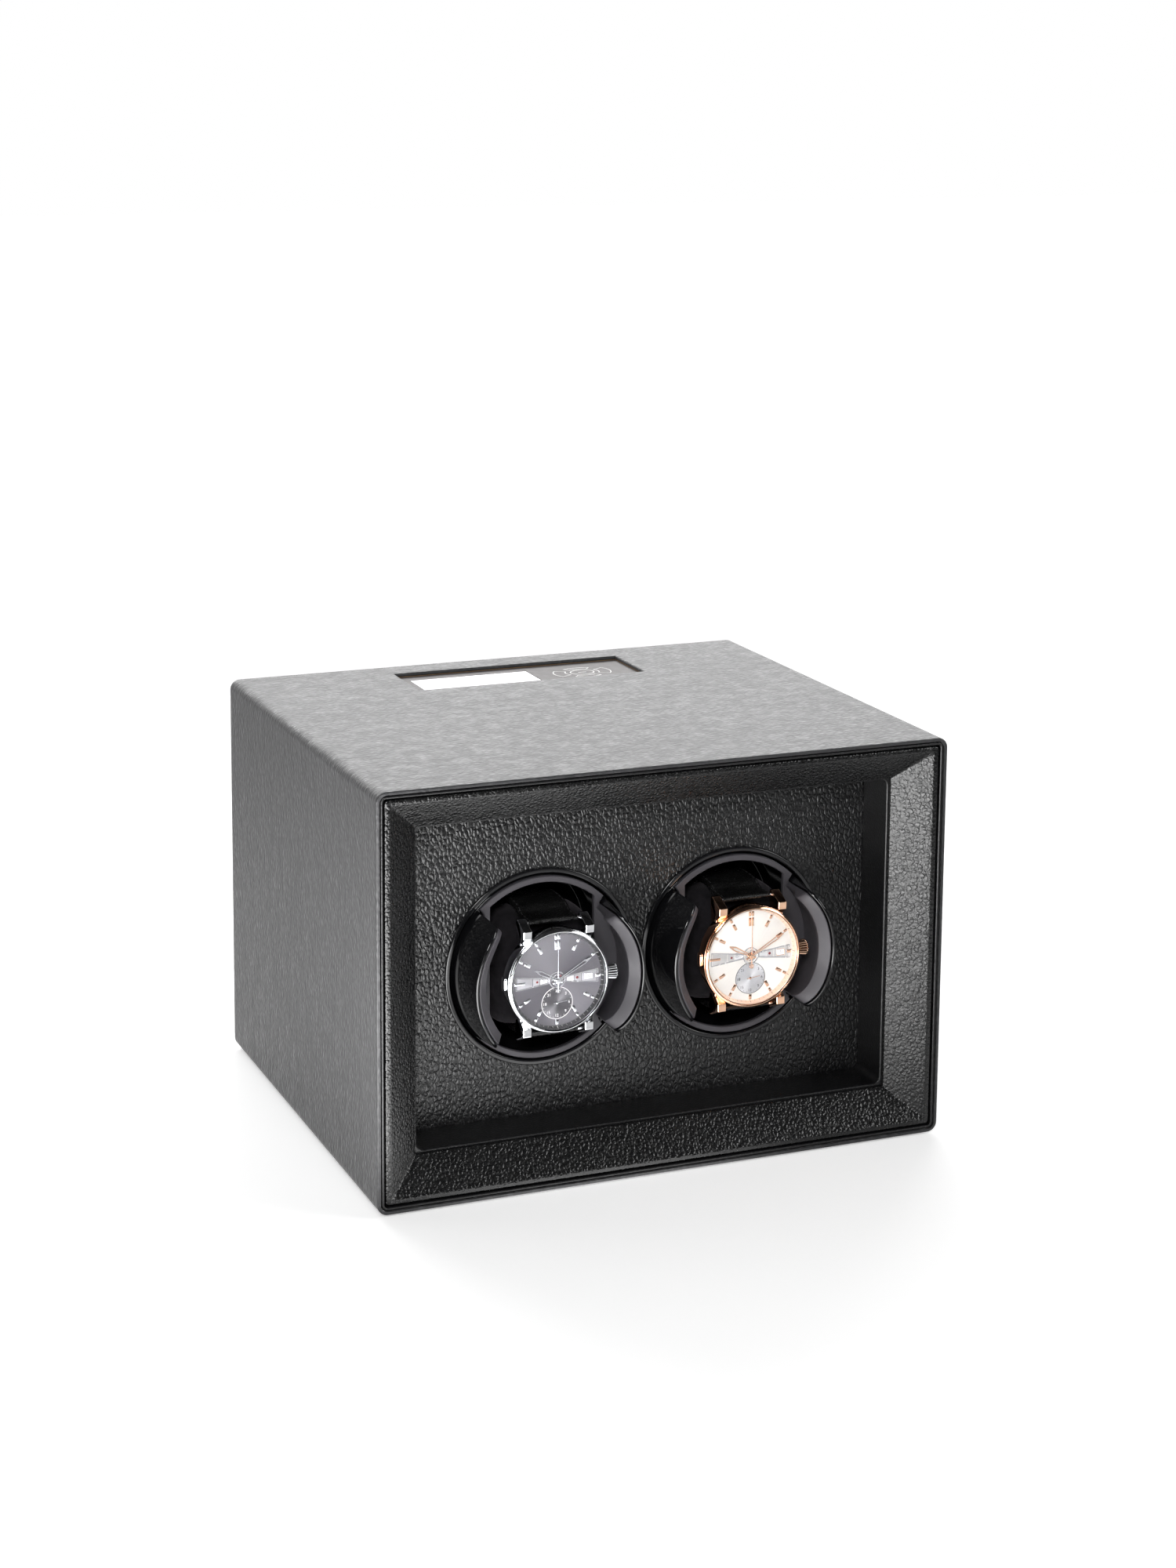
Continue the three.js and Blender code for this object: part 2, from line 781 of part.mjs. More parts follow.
// The strap leaves one pair of lugs, goes round the back of the cushion and ends at the other.
function strap() {
  const middle = gap + strapThickness / 2;
  const barDepth = watchBack - gap - strapThickness / 2 - tiny / 5;
  const barHeight = watchRadius + gap + strapThickness / 2 + springBar;
  const points = [[barDepth, barHeight]];
  const steps = 14;
  for (let step = 0; step <= steps; step += 1) {
    const angle = (strapEnds + (step / steps) * (360 - 2 * strapEnds)) * degrees;
    points.push(cushionPoint(angle, middle));
  }
  points.push([barDepth, -barHeight]);
  const line = new THREE.CatmullRomCurve3(
    points.map(([depth, height]) => new THREE.Vector3(0, frontY + depth, height)),
    false,
    'centripetal',
  );
  const halfWidth = strapWidth / 2;
  const halfThickness = strapThickness / 2;
  const section = polygon([
    [-halfWidth, -halfThickness],
    [halfWidth, -halfThickness],
    [halfWidth, halfThickness],
    [-halfWidth, halfThickness],
  ]);
  return new THREE.ExtrudeGeometry(section, { steps: 34, bevelEnabled: false, extrudePath: line });
}

// The side view of a lug: it rises beside the bezel and bends down past the case.
function lug(side, up) {
  const inside = watchRadius - lugRoot;
  const under = inside - lugRoot / 2;
  const reach = watchRadius + lugBeyond;
  const chamfer = 2 * watchEdge;
  const outline = polygon([
    [watchFront + 2 * chamfer, up * inside],
    [watchFront + 1.5 * chamfer, up * watchRadius],
    [watchSeatDepth, up * (reach - chamfer)],
    [watchBack - chamfer, up * reach],
    [watchBack, up * (reach - 2 * chamfer)],
    [watchBack - chamfer, up * under],
    [watchSeatDepth + tiny, up * under],
    [watchSeatDepth + tiny, up * inside],
  ]);
  const inner = strapWidth / 2 + lugClearance;
  return alongX(outline, side > 0 ? inner : -inner - lugWidth, lugWidth);
}

function watchCase() {
  const bezelInner = watchRadius - watchBezelWidth;
  const body = turned([
    [0, watchSeatDepth],
    [bezelInner, watchSeatDepth],
    [bezelInner, watchFront + watchEdge],
    [bezelInner + watchEdge, watchFront],
    [watchRadius - watchEdge, watchFront],
    [watchRadius, watchFront + 2 * watchEdge],
    [watchRadius, watchBack - watchBackBevel],
    [watchRadius - watchBackTaper, watchBack],
    [0, watchBack],
  ]);
  const lugs = [[-1, 1], [1, 1], [-1, -1], [1, -1]].map(([side, up]) => lug(side, up));
  const holeRadius = stemRadius + gap;
  const stemHole = new THREE.CylinderGeometry(holeRadius, holeRadius, stemLength * 2, smallRound);
  stemHole.rotateZ(Math.PI / 2).translate(watchRadius, frontY + crownDepth, 0);
  return cut(joined(body, ...lugs), stemHole);
}

function crown() {
  const start = watchRadius + 2 * gap;
  const points = [];
  for (let step = 0; step < 2 * crownFlutes; step += 1) {
    const angle = (step / crownFlutes) * Math.PI;
    const radius = crownRadius - (step % 2) * crownFluteDepth;
    points.push([crownDepth + radius * Math.cos(angle), radius * Math.sin(angle)]);
  }
  const knob = alongX(polygon(points), start, crownLength);
  const stem = new THREE.CylinderGeometry(stemRadius, stemRadius, stemLength, smallRound);
  stem.rotateZ(Math.PI / 2).translate(start - stemLength / 2 + tiny, frontY + crownDepth, 0);
  return joined(knob, stem);
}

function watchDial() {
  const hole = handPostRadius + gap;
  return turned([
    [hole, dialFront],
    [dialRadius, dialFront],
    [dialRadius, dialFront + dialThickness],
    [hole, dialFront + dialThickness],
  ]);
}

// The crystal is flat behind and slightly domed in front.
function watchCrystal() {
  const edge = watchFront + crystalDrop;
  const waist = 0.6; // share of the radius at which the dome is broken
  return turned([
    [0, edge - crystalDome],
    [dialRadius * waist, edge - crystalDome * (1 - waist * waist)],
    [dialRadius, edge],
    [dialRadius, edge + crystalThickness],
    [0, edge + crystalThickness],
  ]);
}

// A hand: a blade that narrows from a quarter of its length, and a round boss. It points
// at an angle clockwise from twelve.
function hand(length, tail, width, level, angle) {
  const depth = dialFront - level * handStep;
  const shoulder = length / 4;
  const blade = polygon([
    [-width / 2, -tail],
    [width / 2, -tail],
    [width / 2, shoulder],
    [width / 8, length],
    [-width / 8, length],
    [-width / 2, shoulder],
  ]);
  const boss = disc(handBossRadius, depth, handThickness, shaftRound);
  return joined(alongY(blade, depth, handThickness), boss).rotateY(angle * degrees);
}

function handHole(level) {
  const depth = dialFront - level * handStep - tiny;
  return disc(handPostRadius + handHoleClearance, depth, handThickness + 2 * tiny, shaftRound);
}

// The post of the seconds hand passes through the other hands into the dial.
function secondsPost(level) {
  const depth = dialFront - level * handStep;
  return disc(handPostRadius, depth, level * handStep + dialThickness - runningGap);
}

function buildWatch(parent, name, metal, dialColour) {
  add(parent, `watch_case_${name}`, watchCase(), metal, 0.25, 1);
  add(parent, `watch_dial_${name}`, watchDial(), dialColour, 0.4);
  add(parent, `watch_crystal_${name}`, watchCrystal(), 0xf4f6f8, 0.03);
  add(parent, `watch_crown_${name}`, crown(), metal, 0.3, 1);
  const hour = hand(dialRadius - hourHandShort, handTail, hourHandWidth, 1, hourHandAngle);
  add(parent, `hour_hand_${name}`, cut(hour, handHole(1)), metal, 0.25, 1);
  const minute = hand(dialRadius - minuteHandShort, handTail, minuteHandWidth, 2, minuteHandAngle);
  add(parent, `minute_hand_${name}`, cut(minute, handHole(2)), metal, 0.25, 1);
  const seconds = hand(dialRadius - secondsHandShort, secondsHandTail, secondsHandWidth, 3, secondsHandAngle);
  add(parent, `seconds_hand_${name}`, joined(seconds, secondsPost(3)), metal, 0.25, 1);
}

// ---- One whole rotor with its drive and its watch ----
function buildRotor(name, side, metal, dialColour) {
  const rotor = new THREE.Group();
  rotor.position.set(side * rotorX, 0, rotorHeight);
  winder.add(rotor);
  add(rotor, `trim_ring_${name}`, trimRing(), 0x050506, 0.15);
  add(rotor, `drum_${name}`, drum(), 0x08080a, 0.2);
  add(rotor, `rim_ring_${name}`, rimRing(), 0x3a3a40, 0.5);
  add(rotor, `grip_west_${name}`, grip(-1), 0x3a3a40, 0.5);
  add(rotor, `grip_east_${name}`, grip(1), 0x3a3a40, 0.5);
  add(rotor, `spindle_${name}`, spindle(), 0xb8b8bc, 0.3, 1);
  add(rotor, `bearing_${name}`, bearing(), 0xa07840, 0.4, 0.9);
  add(rotor, `belt_${name}`, belt(), 0x101010, 0.9);
  add(rotor, `cushion_${name}`, cushion(), 0x17171a, 0.95);
  add(rotor, `watch_strap_${name}`, strap(), 0x0c0c0d, 0.45);
  buildWatch(rotor, name, metal, dialColour);
  const drive = new THREE.Group();
  drive.position.set(0, 0, -beltSpan);
  rotor.add(drive);
  add(drive, `motor_${name}`, motor(), 0x9a9a9e, 0.35, 0.9);
  add(drive, `motor_pulley_${name}`, motorPulley(), 0xd8d8d0, 0.6);
}

// ---- Display, inlet and boards ----
function touchPanel() {
  const width = displayWidth - 2 * gap;
  const length = displayLength - 2 * gap;
  const middle = plateTop - plateThickness / 2;
  const plate = block(width, length, plateThickness, displayX, displayY, middle);
  const windowWidth = lcdWidth + 2 * gap;
  const windowLength = lcdLength + 2 * gap;
  return cut(plate, block(windowWidth, windowLength, plateThickness * 2, lcdX, lcdY, middle));
}

function buildDisplay() {
  const lcdTop = plateTop - lcdDrop;
  const boardTop = lcdTop - lcdThickness - gap;
  const boardWidth = displayWidth - 2 * displayBoardInset;
  const boardLength = displayLength - 2 * displayBoardInset;
  const lcd = block(lcdWidth, lcdLength, lcdThickness, lcdX, lcdY, lcdTop - lcdThickness / 2);
  const boardMiddle = boardTop - boardThickness / 2;
  const board = block(boardWidth, boardLength, boardThickness, displayX, displayY, boardMiddle);
  add(winder, 'touch_panel', touchPanel(), 0x2c2628, 0.3);
  add(winder, 'lcd_display', lcd, 0xf6f6f6, 0.4);
  add(winder, 'display_board', board, 0x1d5a35, 0.6);
}

function dcInlet() {
  const face = rearFace + gap;
  const end = face + inletFlangeHeight;
  const floor = end - inletBoreLength;
  const back = face - inletLength;
  const body = turned(
    [
      [0, back],
      [inletRadius, back],
      [inletRadius, face],
      [inletFlangeRadius, face],
      [inletFlangeRadius, end],
      [inletBoreRadius, end],
      [inletBoreRadius, floor],
      [inletPinRadius, floor],
      [inletPinRadius, end - inletPinDrop],
      [0, end - inletPinDrop],
    ],
    smallRound,
  );
  return body.translate(inletX, 0, inletHeight);
}

function controlBoard() {
  const y = frontY + rearFace - rearPanelThickness - controlBoardClearance;
  const z = sleeveMiddle;
  const front = y - boardThickness / 2;
  const board = block(controlBoardWidth, boardThickness, controlBoardHeight, 0, y, z);
  const can = { radius: 5, height: 12, x: -38, z: 18 };
  const chip = { size: 16, thickness: 2.2, x: -5 };
  const plug = { width: 14, thickness: 7, height: 6, x: 30, z: -26 };
  const canShape = new THREE.CylinderGeometry(can.radius, can.radius, can.height, smallRound);
  canShape.translate(can.x, front - can.radius + tiny, z + can.z);
  const chipShape = block(chip.size, chip.thickness, chip.size, chip.x, front, z);
  const plugs = [-1, 1].map((side) =>
    block(plug.width, plug.thickness, plug.height, side * plug.x, front - plug.thickness / 2 + tiny, z + plug.z),
  );
  return joined(board, canShape, chipShape, ...plugs);
}

function buildCaseFittings() {
  add(winder, 'rotor_panel', rotorPanel(), 0x1a1a1d, 0.55);
  add(winder, 'motor_bulkhead', motorBulkhead(), 0x5c4a38, 0.8);
  buildDisplay();
  add(winder, 'control_board', controlBoard(), 0x1d5a35, 0.6);
  add(winder, 'dc_inlet', dcInlet(), 0x0c0c0c, 0.5);
}

buildCase();
buildCaseFittings();
buildRotor('left', -1, 0xc9ccd2, 0x3b3b42);
buildRotor('right', 1, 0xd9a07a, 0xf2efe8);

export default winder;
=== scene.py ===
import bmesh
import bpy
import math
import numpy as np
from mathutils import Matrix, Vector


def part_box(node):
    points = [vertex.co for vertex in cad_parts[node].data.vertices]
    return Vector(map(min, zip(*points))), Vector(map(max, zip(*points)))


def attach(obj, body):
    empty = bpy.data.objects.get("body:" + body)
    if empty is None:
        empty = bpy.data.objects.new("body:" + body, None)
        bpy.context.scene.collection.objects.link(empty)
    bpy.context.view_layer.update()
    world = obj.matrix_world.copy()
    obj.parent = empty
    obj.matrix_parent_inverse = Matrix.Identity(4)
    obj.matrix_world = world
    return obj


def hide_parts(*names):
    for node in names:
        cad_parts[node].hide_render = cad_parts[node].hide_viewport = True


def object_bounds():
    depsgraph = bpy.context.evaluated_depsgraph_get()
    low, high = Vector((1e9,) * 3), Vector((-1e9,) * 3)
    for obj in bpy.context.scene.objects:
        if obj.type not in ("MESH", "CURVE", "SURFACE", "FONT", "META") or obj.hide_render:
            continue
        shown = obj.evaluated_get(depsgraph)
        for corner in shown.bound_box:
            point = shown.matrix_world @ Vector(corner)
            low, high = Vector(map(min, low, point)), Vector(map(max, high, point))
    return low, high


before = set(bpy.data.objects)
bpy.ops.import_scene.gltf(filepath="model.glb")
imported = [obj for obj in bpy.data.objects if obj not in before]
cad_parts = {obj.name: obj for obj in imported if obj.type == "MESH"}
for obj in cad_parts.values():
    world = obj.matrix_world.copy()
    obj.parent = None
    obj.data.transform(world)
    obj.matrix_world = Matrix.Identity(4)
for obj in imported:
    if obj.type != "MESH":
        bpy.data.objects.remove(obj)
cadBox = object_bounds()
mm = 0.001
frontY = cadBox[0].y / mm  # the front plane of the case; every depth is measured back from it
print("frame loaded:", len(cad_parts), "nodes")


# Places and shapes, all in millimetres: x to the right, depth to the back, z up

def nodeBox(name):
    low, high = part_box(name)
    origin = np.array([0, frontY, 0])
    return np.array(low) / mm - origin, np.array(high) / mm - origin


def rounded(outline, steps=4, closed=True):
    # Each point is (a, b, radius); a corner with a radius becomes an arc that touches both sides.
    points = np.array([(p[0], p[1]) for p in outline], float)
    made = []
    count = len(outline)
    for i, corner in enumerate(points):
        radius = outline[i][2] if len(outline[i]) > 2 else 0
        if radius <= 0 or (not closed and i in (0, count - 1)):
            made.append(corner)
            continue
        before = points[i - 1] - corner
        after = points[(i + 1) % count] - corner
        lengths = np.linalg.norm(before), np.linalg.norm(after)
        u, v = before / lengths[0], after / lengths[1]
        half = math.acos(np.clip(u @ v, -1, 1)) / 2
        reach = min(radius / math.tan(half), 0.49 * min(lengths))
        radius = reach * math.tan(half)
        middle = corner + (u + v) / np.linalg.norm(u + v) * radius / math.sin(half)
        start, end = corner + u * reach - middle, corner + v * reach - middle
        turn = math.pi - 2 * half
        for t in np.linspace(0, 1, steps + 1):
            made.append(middle + (start * math.sin((1 - t) * turn) + end * math.sin(t * turn)) / math.sin(turn))
    return np.array(made)


def outwardNormals(outline):
    # The mean of the two neighbouring edges' normals, pointing out of a closed outline.
    after = np.roll(outline, -1, 0) - outline
    turned90 = np.stack([after[:, 1], -after[:, 0]], 1)
    turned90 /= np.linalg.norm(turned90, axis=1, keepdims=True) + 1e-12
    normals = turned90 + np.roll(turned90, 1, 0)
    normals /= np.linalg.norm(normals, axis=1, keepdims=True) + 1e-12
    area = np.sum(outline[:, 0] * np.roll(outline[:, 1], -1) - np.roll(outline[:, 0], -1) * outline[:, 1])
    return normals * (1 if area > 0 else -1)


def inset(outline, amount):
    return outline - outwardNormals(outline) * amount


def quadsOf(rows, columns, wrapRows, wrapColumns):
    r, c = np.meshgrid(np.arange(rows - (not wrapRows)), np.arange(columns - (not wrapColumns)), indexing="ij")
    nextR, nextC = (r + 1) % rows, (c + 1) % columns
    return np.stack([r * columns + c, r * columns + nextC, nextR * columns + nextC, nextR * columns + c], -1)


def surface(grid, wrapRows=False, wrapColumns=False, caps=False):
    # A grid of points becomes quads; with caps, the first and last row are closed by one face each.
    rows, columns = grid.shape[:2]
    faces = quadsOf(rows, columns, wrapRows, wrapColumns).reshape(-1, 4).tolist()
    if caps:
        faces.append(list(range(columns))[::-1])
        faces.append(list(range((rows - 1) * columns, rows * columns)))
    return outward(grid.reshape(-1, 3), faces)


def outward(points, faces):
    # The signed volume of a closed shape is negative when its faces point inwards.
    corners = np.array([(f[0], f[i], f[i + 1]) for f in faces for i in range(1, len(f) - 1)])
    a, b, c = points[corners[:, 0]], points[corners[:, 1]], points[corners[:, 2]]
    if np.sum(a * np.cross(b, c)) < 0:
        faces = [f[::-1] for f in faces]
    return points, faces


def together(*shapes):
    points, faces, offset = [], [], 0
    for shapePoints, shapeFaces in shapes:
        points.append(shapePoints)
        faces += [[i + offset for i in f] for f in shapeFaces]
        offset += len(shapePoints)
    return np.concatenate(points), faces


def moved(shape, x=0, depth=0, z=0):
    return shape[0] + np.array([x, depth, z]), shape[1]


def spun(shape, angle):
    # Turned about the line x = z = 0, clockwise seen from the front.
    c, s = math.cos(math.radians(angle)), math.sin(math.radians(angle))
    x, depth, z = shape[0].T
    return np.stack([x * c + z * s, depth, z * c - x * s], 1), shape[1]


def turned(profile, segments=96):
    # The profile's (radius, depth) points go round the line x = z = 0.
    profile = np.array([p[:2] for p in profile], float)
    angle = np.linspace(0, 2 * math.pi, segments, endpoint=False)[:, None]
    radius, depth = profile[:, 0][None], profile[:, 1][None]
    grid = np.stack([radius * np.cos(angle), depth + 0 * angle, radius * np.sin(angle)], -1)
    onAxis = profile[0, 0] == 0 and profile[-1, 0] == 0
    return surface(grid, wrapRows=True, wrapColumns=not onAxis)


def plate(outline, front, back, edge=0.0, steps=2):
    # An (x, z) outline carried from one depth to another, its front and back edges rounded off.
    outline = np.array([p[:2] for p in outline], float)
    rows = []
    for t in np.linspace(0, math.pi / 2, steps + 1):
        rows.append((edge * (1 - math.sin(t)), front + edge * (1 - math.cos(t))))
    rows += [(amount, front + back - depth) for amount, depth in rows[::-1]]
    if edge == 0:
        rows = [(0, front), (0, back)]
    grid = np.array([np.insert(inset(outline, amount), 1, depth, axis=1) for amount, depth in rows])
    return surface(grid, wrapColumns=True, caps=True)


def acrossX(shape):
    # Swaps x and depth, so that a plate of (depth, z) points is carried along x.
    points = shape[0][:, [1, 0, 2]]
    return outward(points, shape[1])


def ringPlate(outer, inner, front, back, edge=0.0):
    # A plate with a hole of the same number of points as its outline.
    outer, inner = np.array(outer, float), np.array(inner, float)
    rows = [
        (outer, edge, front), (outer, 0, front + edge), (outer, 0, back),
        (inner, 0, back), (inner, 0, front + edge), (inner, -edge, front),
    ]
    grid = np.array([np.insert(inset(line, amount), 1, depth, axis=1) for line, amount, depth in rows])
    return surface(grid, wrapRows=True, wrapColumns=True)


def rectangle(width, height, x=0, z=0, radius=0.0, steps=3):
    a, b = width / 2, height / 2
    corners = [(x - a, z - b, radius), (x + a, z - b, radius), (x + a, z + b, radius), (x - a, z + b, radius)]
    return rounded(corners, steps)


def circle(radius, x=0, z=0, count=24):
    angle = np.linspace(0, 2 * math.pi, count, endpoint=False)
    return np.stack([x + radius * np.cos(angle), z + radius * np.sin(angle)], 1)


# Putting a shape into the scene

def makePiece(name, shape, material, body, replaced=(), sharp=35):
    points = shape[0] + np.array([0, frontY, 0])
    mesh = bpy.data.meshes.new(name)
    mesh.from_pydata((points * mm).tolist(), [], shape[1])
    loose = bmesh.new()
    loose.from_mesh(mesh)
    bmesh.ops.remove_doubles(loose, verts=loose.verts, dist=1e-6)
    loose.to_mesh(mesh)
    loose.free()
    mesh.validate()
    mesh.shade_smooth()
    mesh.set_sharp_from_angle(angle=math.radians(sharp))
    mesh.materials.append(material)
    piece = bpy.data.objects.new(name, mesh)
    bpy.context.scene.collection.objects.link(piece)
    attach(piece, body)
    if replaced:
        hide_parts(*replaced)
    return piece


def dress(node, material):
    # A CAD node keeps its shape and gets a better material.
    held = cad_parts[node]
    held.data.materials.clear()
    held.data.materials.append(material)


# Finishes

def feed(tree, socket, value):
    if isinstance(value, bpy.types.NodeSocket):
        tree.links.new(value, socket)
    else:
        socket.default_value = value


def addNode(tree, kind, settings=None, inputs=None):
    made = tree.nodes.new(kind)
    for key, value in (settings or {}).items():
        setattr(made, key, value)
    for key, value in (inputs or {}).items():
        feed(tree, made.inputs[key], value)
    return made


def calculate(tree, operation, *values):
    return addNode(tree, "ShaderNodeMath", {"operation": operation}, dict(enumerate(values))).outputs[0]


def vectorOf(tree, operation, *values):
    return addNode(tree, "ShaderNodeVectorMath", {"operation": operation}, dict(enumerate(values))).outputs[0]


def between(tree, value, low, high):
    # A value of 0 to 1 spread from low to high.
    return addNode(tree, "ShaderNodeMapRange", None, {"Value": value, "To Min": low, "To Max": high}).outputs[0]


def smoothBetween(tree, value, start, end, low=0.0, high=1.0):
    # Goes from low to high along an S curve while the value goes from start to end.
    return addNode(tree, "ShaderNodeMapRange", {"interpolation_type": "SMOOTHSTEP"}, {
        "Value": value, "From Min": start, "From Max": end, "To Min": low, "To Max": high}).outputs[0]


def noise(tree, where, scale, detail=2.0):
    return addNode(tree, "ShaderNodeTexNoise", None,
                   {"Vector": where, "Scale": scale, "Detail": detail}).outputs


def newGroup(name, inputs, outputs):
    group = bpy.data.node_groups.new(name, "ShaderNodeTree")
    for label, kind, value in inputs:
        socket = group.interface.new_socket(name=label, in_out="INPUT", socket_type=kind)
        if value is not None:
            socket.default_value = value
    for label in outputs:
        group.interface.new_socket(name=label, in_out="OUTPUT", socket_type="NodeSocketFloat")
    return group, group.nodes.new("NodeGroupInput").outputs, group.nodes.new("NodeGroupOutput").inputs


def pebbleGroup():
    # Pebbles pushed about by a noise. The height is 0.6 of the S-curved distance to the cell's edge, less
    # the square of the distance to its middle, less 0.35 of a finer cell's distance, plus fine pores.
    group, given, put = newGroup("Pebble grain", [
        ("Vector", "NodeSocketVector", None), ("Scale", "NodeSocketFloat", 900.0),
        ("Wander", "NodeSocketFloat", 0.0006), ("Crease width", "NodeSocketFloat", 0.14),
        ("Pores", "NodeSocketFloat", 0.15)], ["Height", "Crease"])

    def cells(feature, scale, **more):
        return addNode(group, "ShaderNodeTexVoronoi", {"feature": feature},
                       {"Vector": place, "Scale": scale, **more}).outputs["Distance"]

    scale = given["Scale"]
    slow = noise(group, given["Vector"], calculate(group, "MULTIPLY", scale, 0.65), 3.0)
    centred = vectorOf(group, "SUBTRACT", slow["Color"], (0.5, 0.5, 0.5))
    push = addNode(group, "ShaderNodeVectorMath", {"operation": "SCALE"},
                   {0: centred, "Scale": given["Wander"]})
    place = vectorOf(group, "ADD", given["Vector"], push.outputs[0])
    dome = smoothBetween(group, cells("DISTANCE_TO_EDGE", scale), 0.0, given["Crease width"])
    near = cells("F1", scale)
    rounded = calculate(group, "SUBTRACT", calculate(group, "MULTIPLY", dome, 0.6),
                        calculate(group, "MULTIPLY", near, near))
    small = cells("SMOOTH_F1", calculate(group, "MULTIPLY", scale, 1.9), Smoothness=0.6)
    broken = calculate(group, "SUBTRACT", rounded, calculate(group, "MULTIPLY", small, 0.35))
    pores = noise(group, place, calculate(group, "MULTIPLY", scale, 4.5))[0]
    fine = calculate(group, "MULTIPLY", pores, given["Pores"])
    group.links.new(calculate(group, "ADD", broken, fine), put["Height"])
    group.links.new(calculate(group, "SUBTRACT", 1.0, dome), put["Crease"])
    return group


def patchGroup():
    # A slow noise and a finer one, spread over 0 to 1: handling marks, dye and polish that vary.
    group, given, put = newGroup("Patches", [
        ("Vector", "NodeSocketVector", None), ("Scale", "NodeSocketFloat", 30.0),
        ("Detail scale", "NodeSocketFloat", 8.0)], ["Value", "Fine"])
    fineScale = calculate(group, "MULTIPLY", given["Scale"], given["Detail scale"])
    for scale, detail, target in ((given["Scale"], 3.0, "Value"), (fineScale, 2.0, "Fine")):
        source = noise(group, given["Vector"], scale, detail)[0]
        spread = addNode(group, "ShaderNodeMapRange", None, {"Value": source, "From Min": 0.3, "From Max": 0.7})
        group.links.new(spread.outputs[0], put[target])
    return group


def lineGroup():
    # Fine lines along one direction: the vector is squeezed along it before the noise is read.
    group, given, put = newGroup("Fine lines", [
        ("Vector", "NodeSocketVector", None), ("Squeeze", "NodeSocketVector", (1.0, 1.0, 1.0)),
        ("Scale", "NodeSocketFloat", 1500.0)], ["Value"])
    squeezed = vectorOf(group, "MULTIPLY", given["Vector"], given["Squeeze"])
    group.links.new(noise(group, squeezed, given["Scale"], 3.0)[0], put["Value"])
    return group


groups = {"pebble": pebbleGroup(), "patches": patchGroup(), "lines": lineGroup()}


def useGroup(tree, name, inputs):
    return addNode(tree, "ShaderNodeGroup", {"node_tree": groups[name]}, inputs).outputs


def newMaterial(name, sockets):
    made = bpy.data.materials.new(name)
    made.use_nodes = True
    tree = made.node_tree
    shader = tree.nodes["Principled BSDF"]
    for key, value in sockets.items():
        shader.inputs[key].default_value = value
    where = tree.nodes.new("ShaderNodeTexCoord").outputs["Object"]
    return made, tree, shader, where


def blendColour(tree, factor, first, second):
    made = addNode(tree, "ShaderNodeMix", {"data_type": "RGBA"})
    for index, value in ((0, factor), (6, first), (7, second)):
        feed(tree, made.inputs[index], (*value, 1.0) if isinstance(value, tuple) else value)
    return made.outputs[2]


def wear(tree, shader, colour, rough, height, strength, relief):
    # What a finish shows: its colour, its polish unless that is even, and its surface in relief.
    tree.links.new(colour, shader.inputs["Base Color"])
    if rough is not None:
        tree.links.new(rough, shader.inputs["Roughness"])
    bump = addNode(tree, "ShaderNodeBump", None, {"Strength": strength, "Distance": relief, "Height": height})
    tree.links.new(bump.outputs[0], shader.inputs["Normal"])


def plainFinish(name, look):
    # Colour and polish that vary in patches, and a fine surface in relief.
    made, tree, shader, where = newMaterial(name, look.get("sockets", {}))
    patches = useGroup(tree, "patches", {"Vector": where, "Scale": look.get("patch", 30.0)})
    if "squeeze" in look:
        height = useGroup(tree, "lines",
                          {"Vector": where, "Squeeze": look["squeeze"], "Scale": look["grain"]})["Value"]
    else:
        height = noise(tree, where, look["grain"], 3.0)[0]
    wear(tree, shader, blendColour(tree, patches["Value"], look["colour"], look["second"]),
         between(tree, patches["Fine"], *look["rough"]), height, look.get("strength", 0.3),
         look.get("relief", 0.00005))
    return made


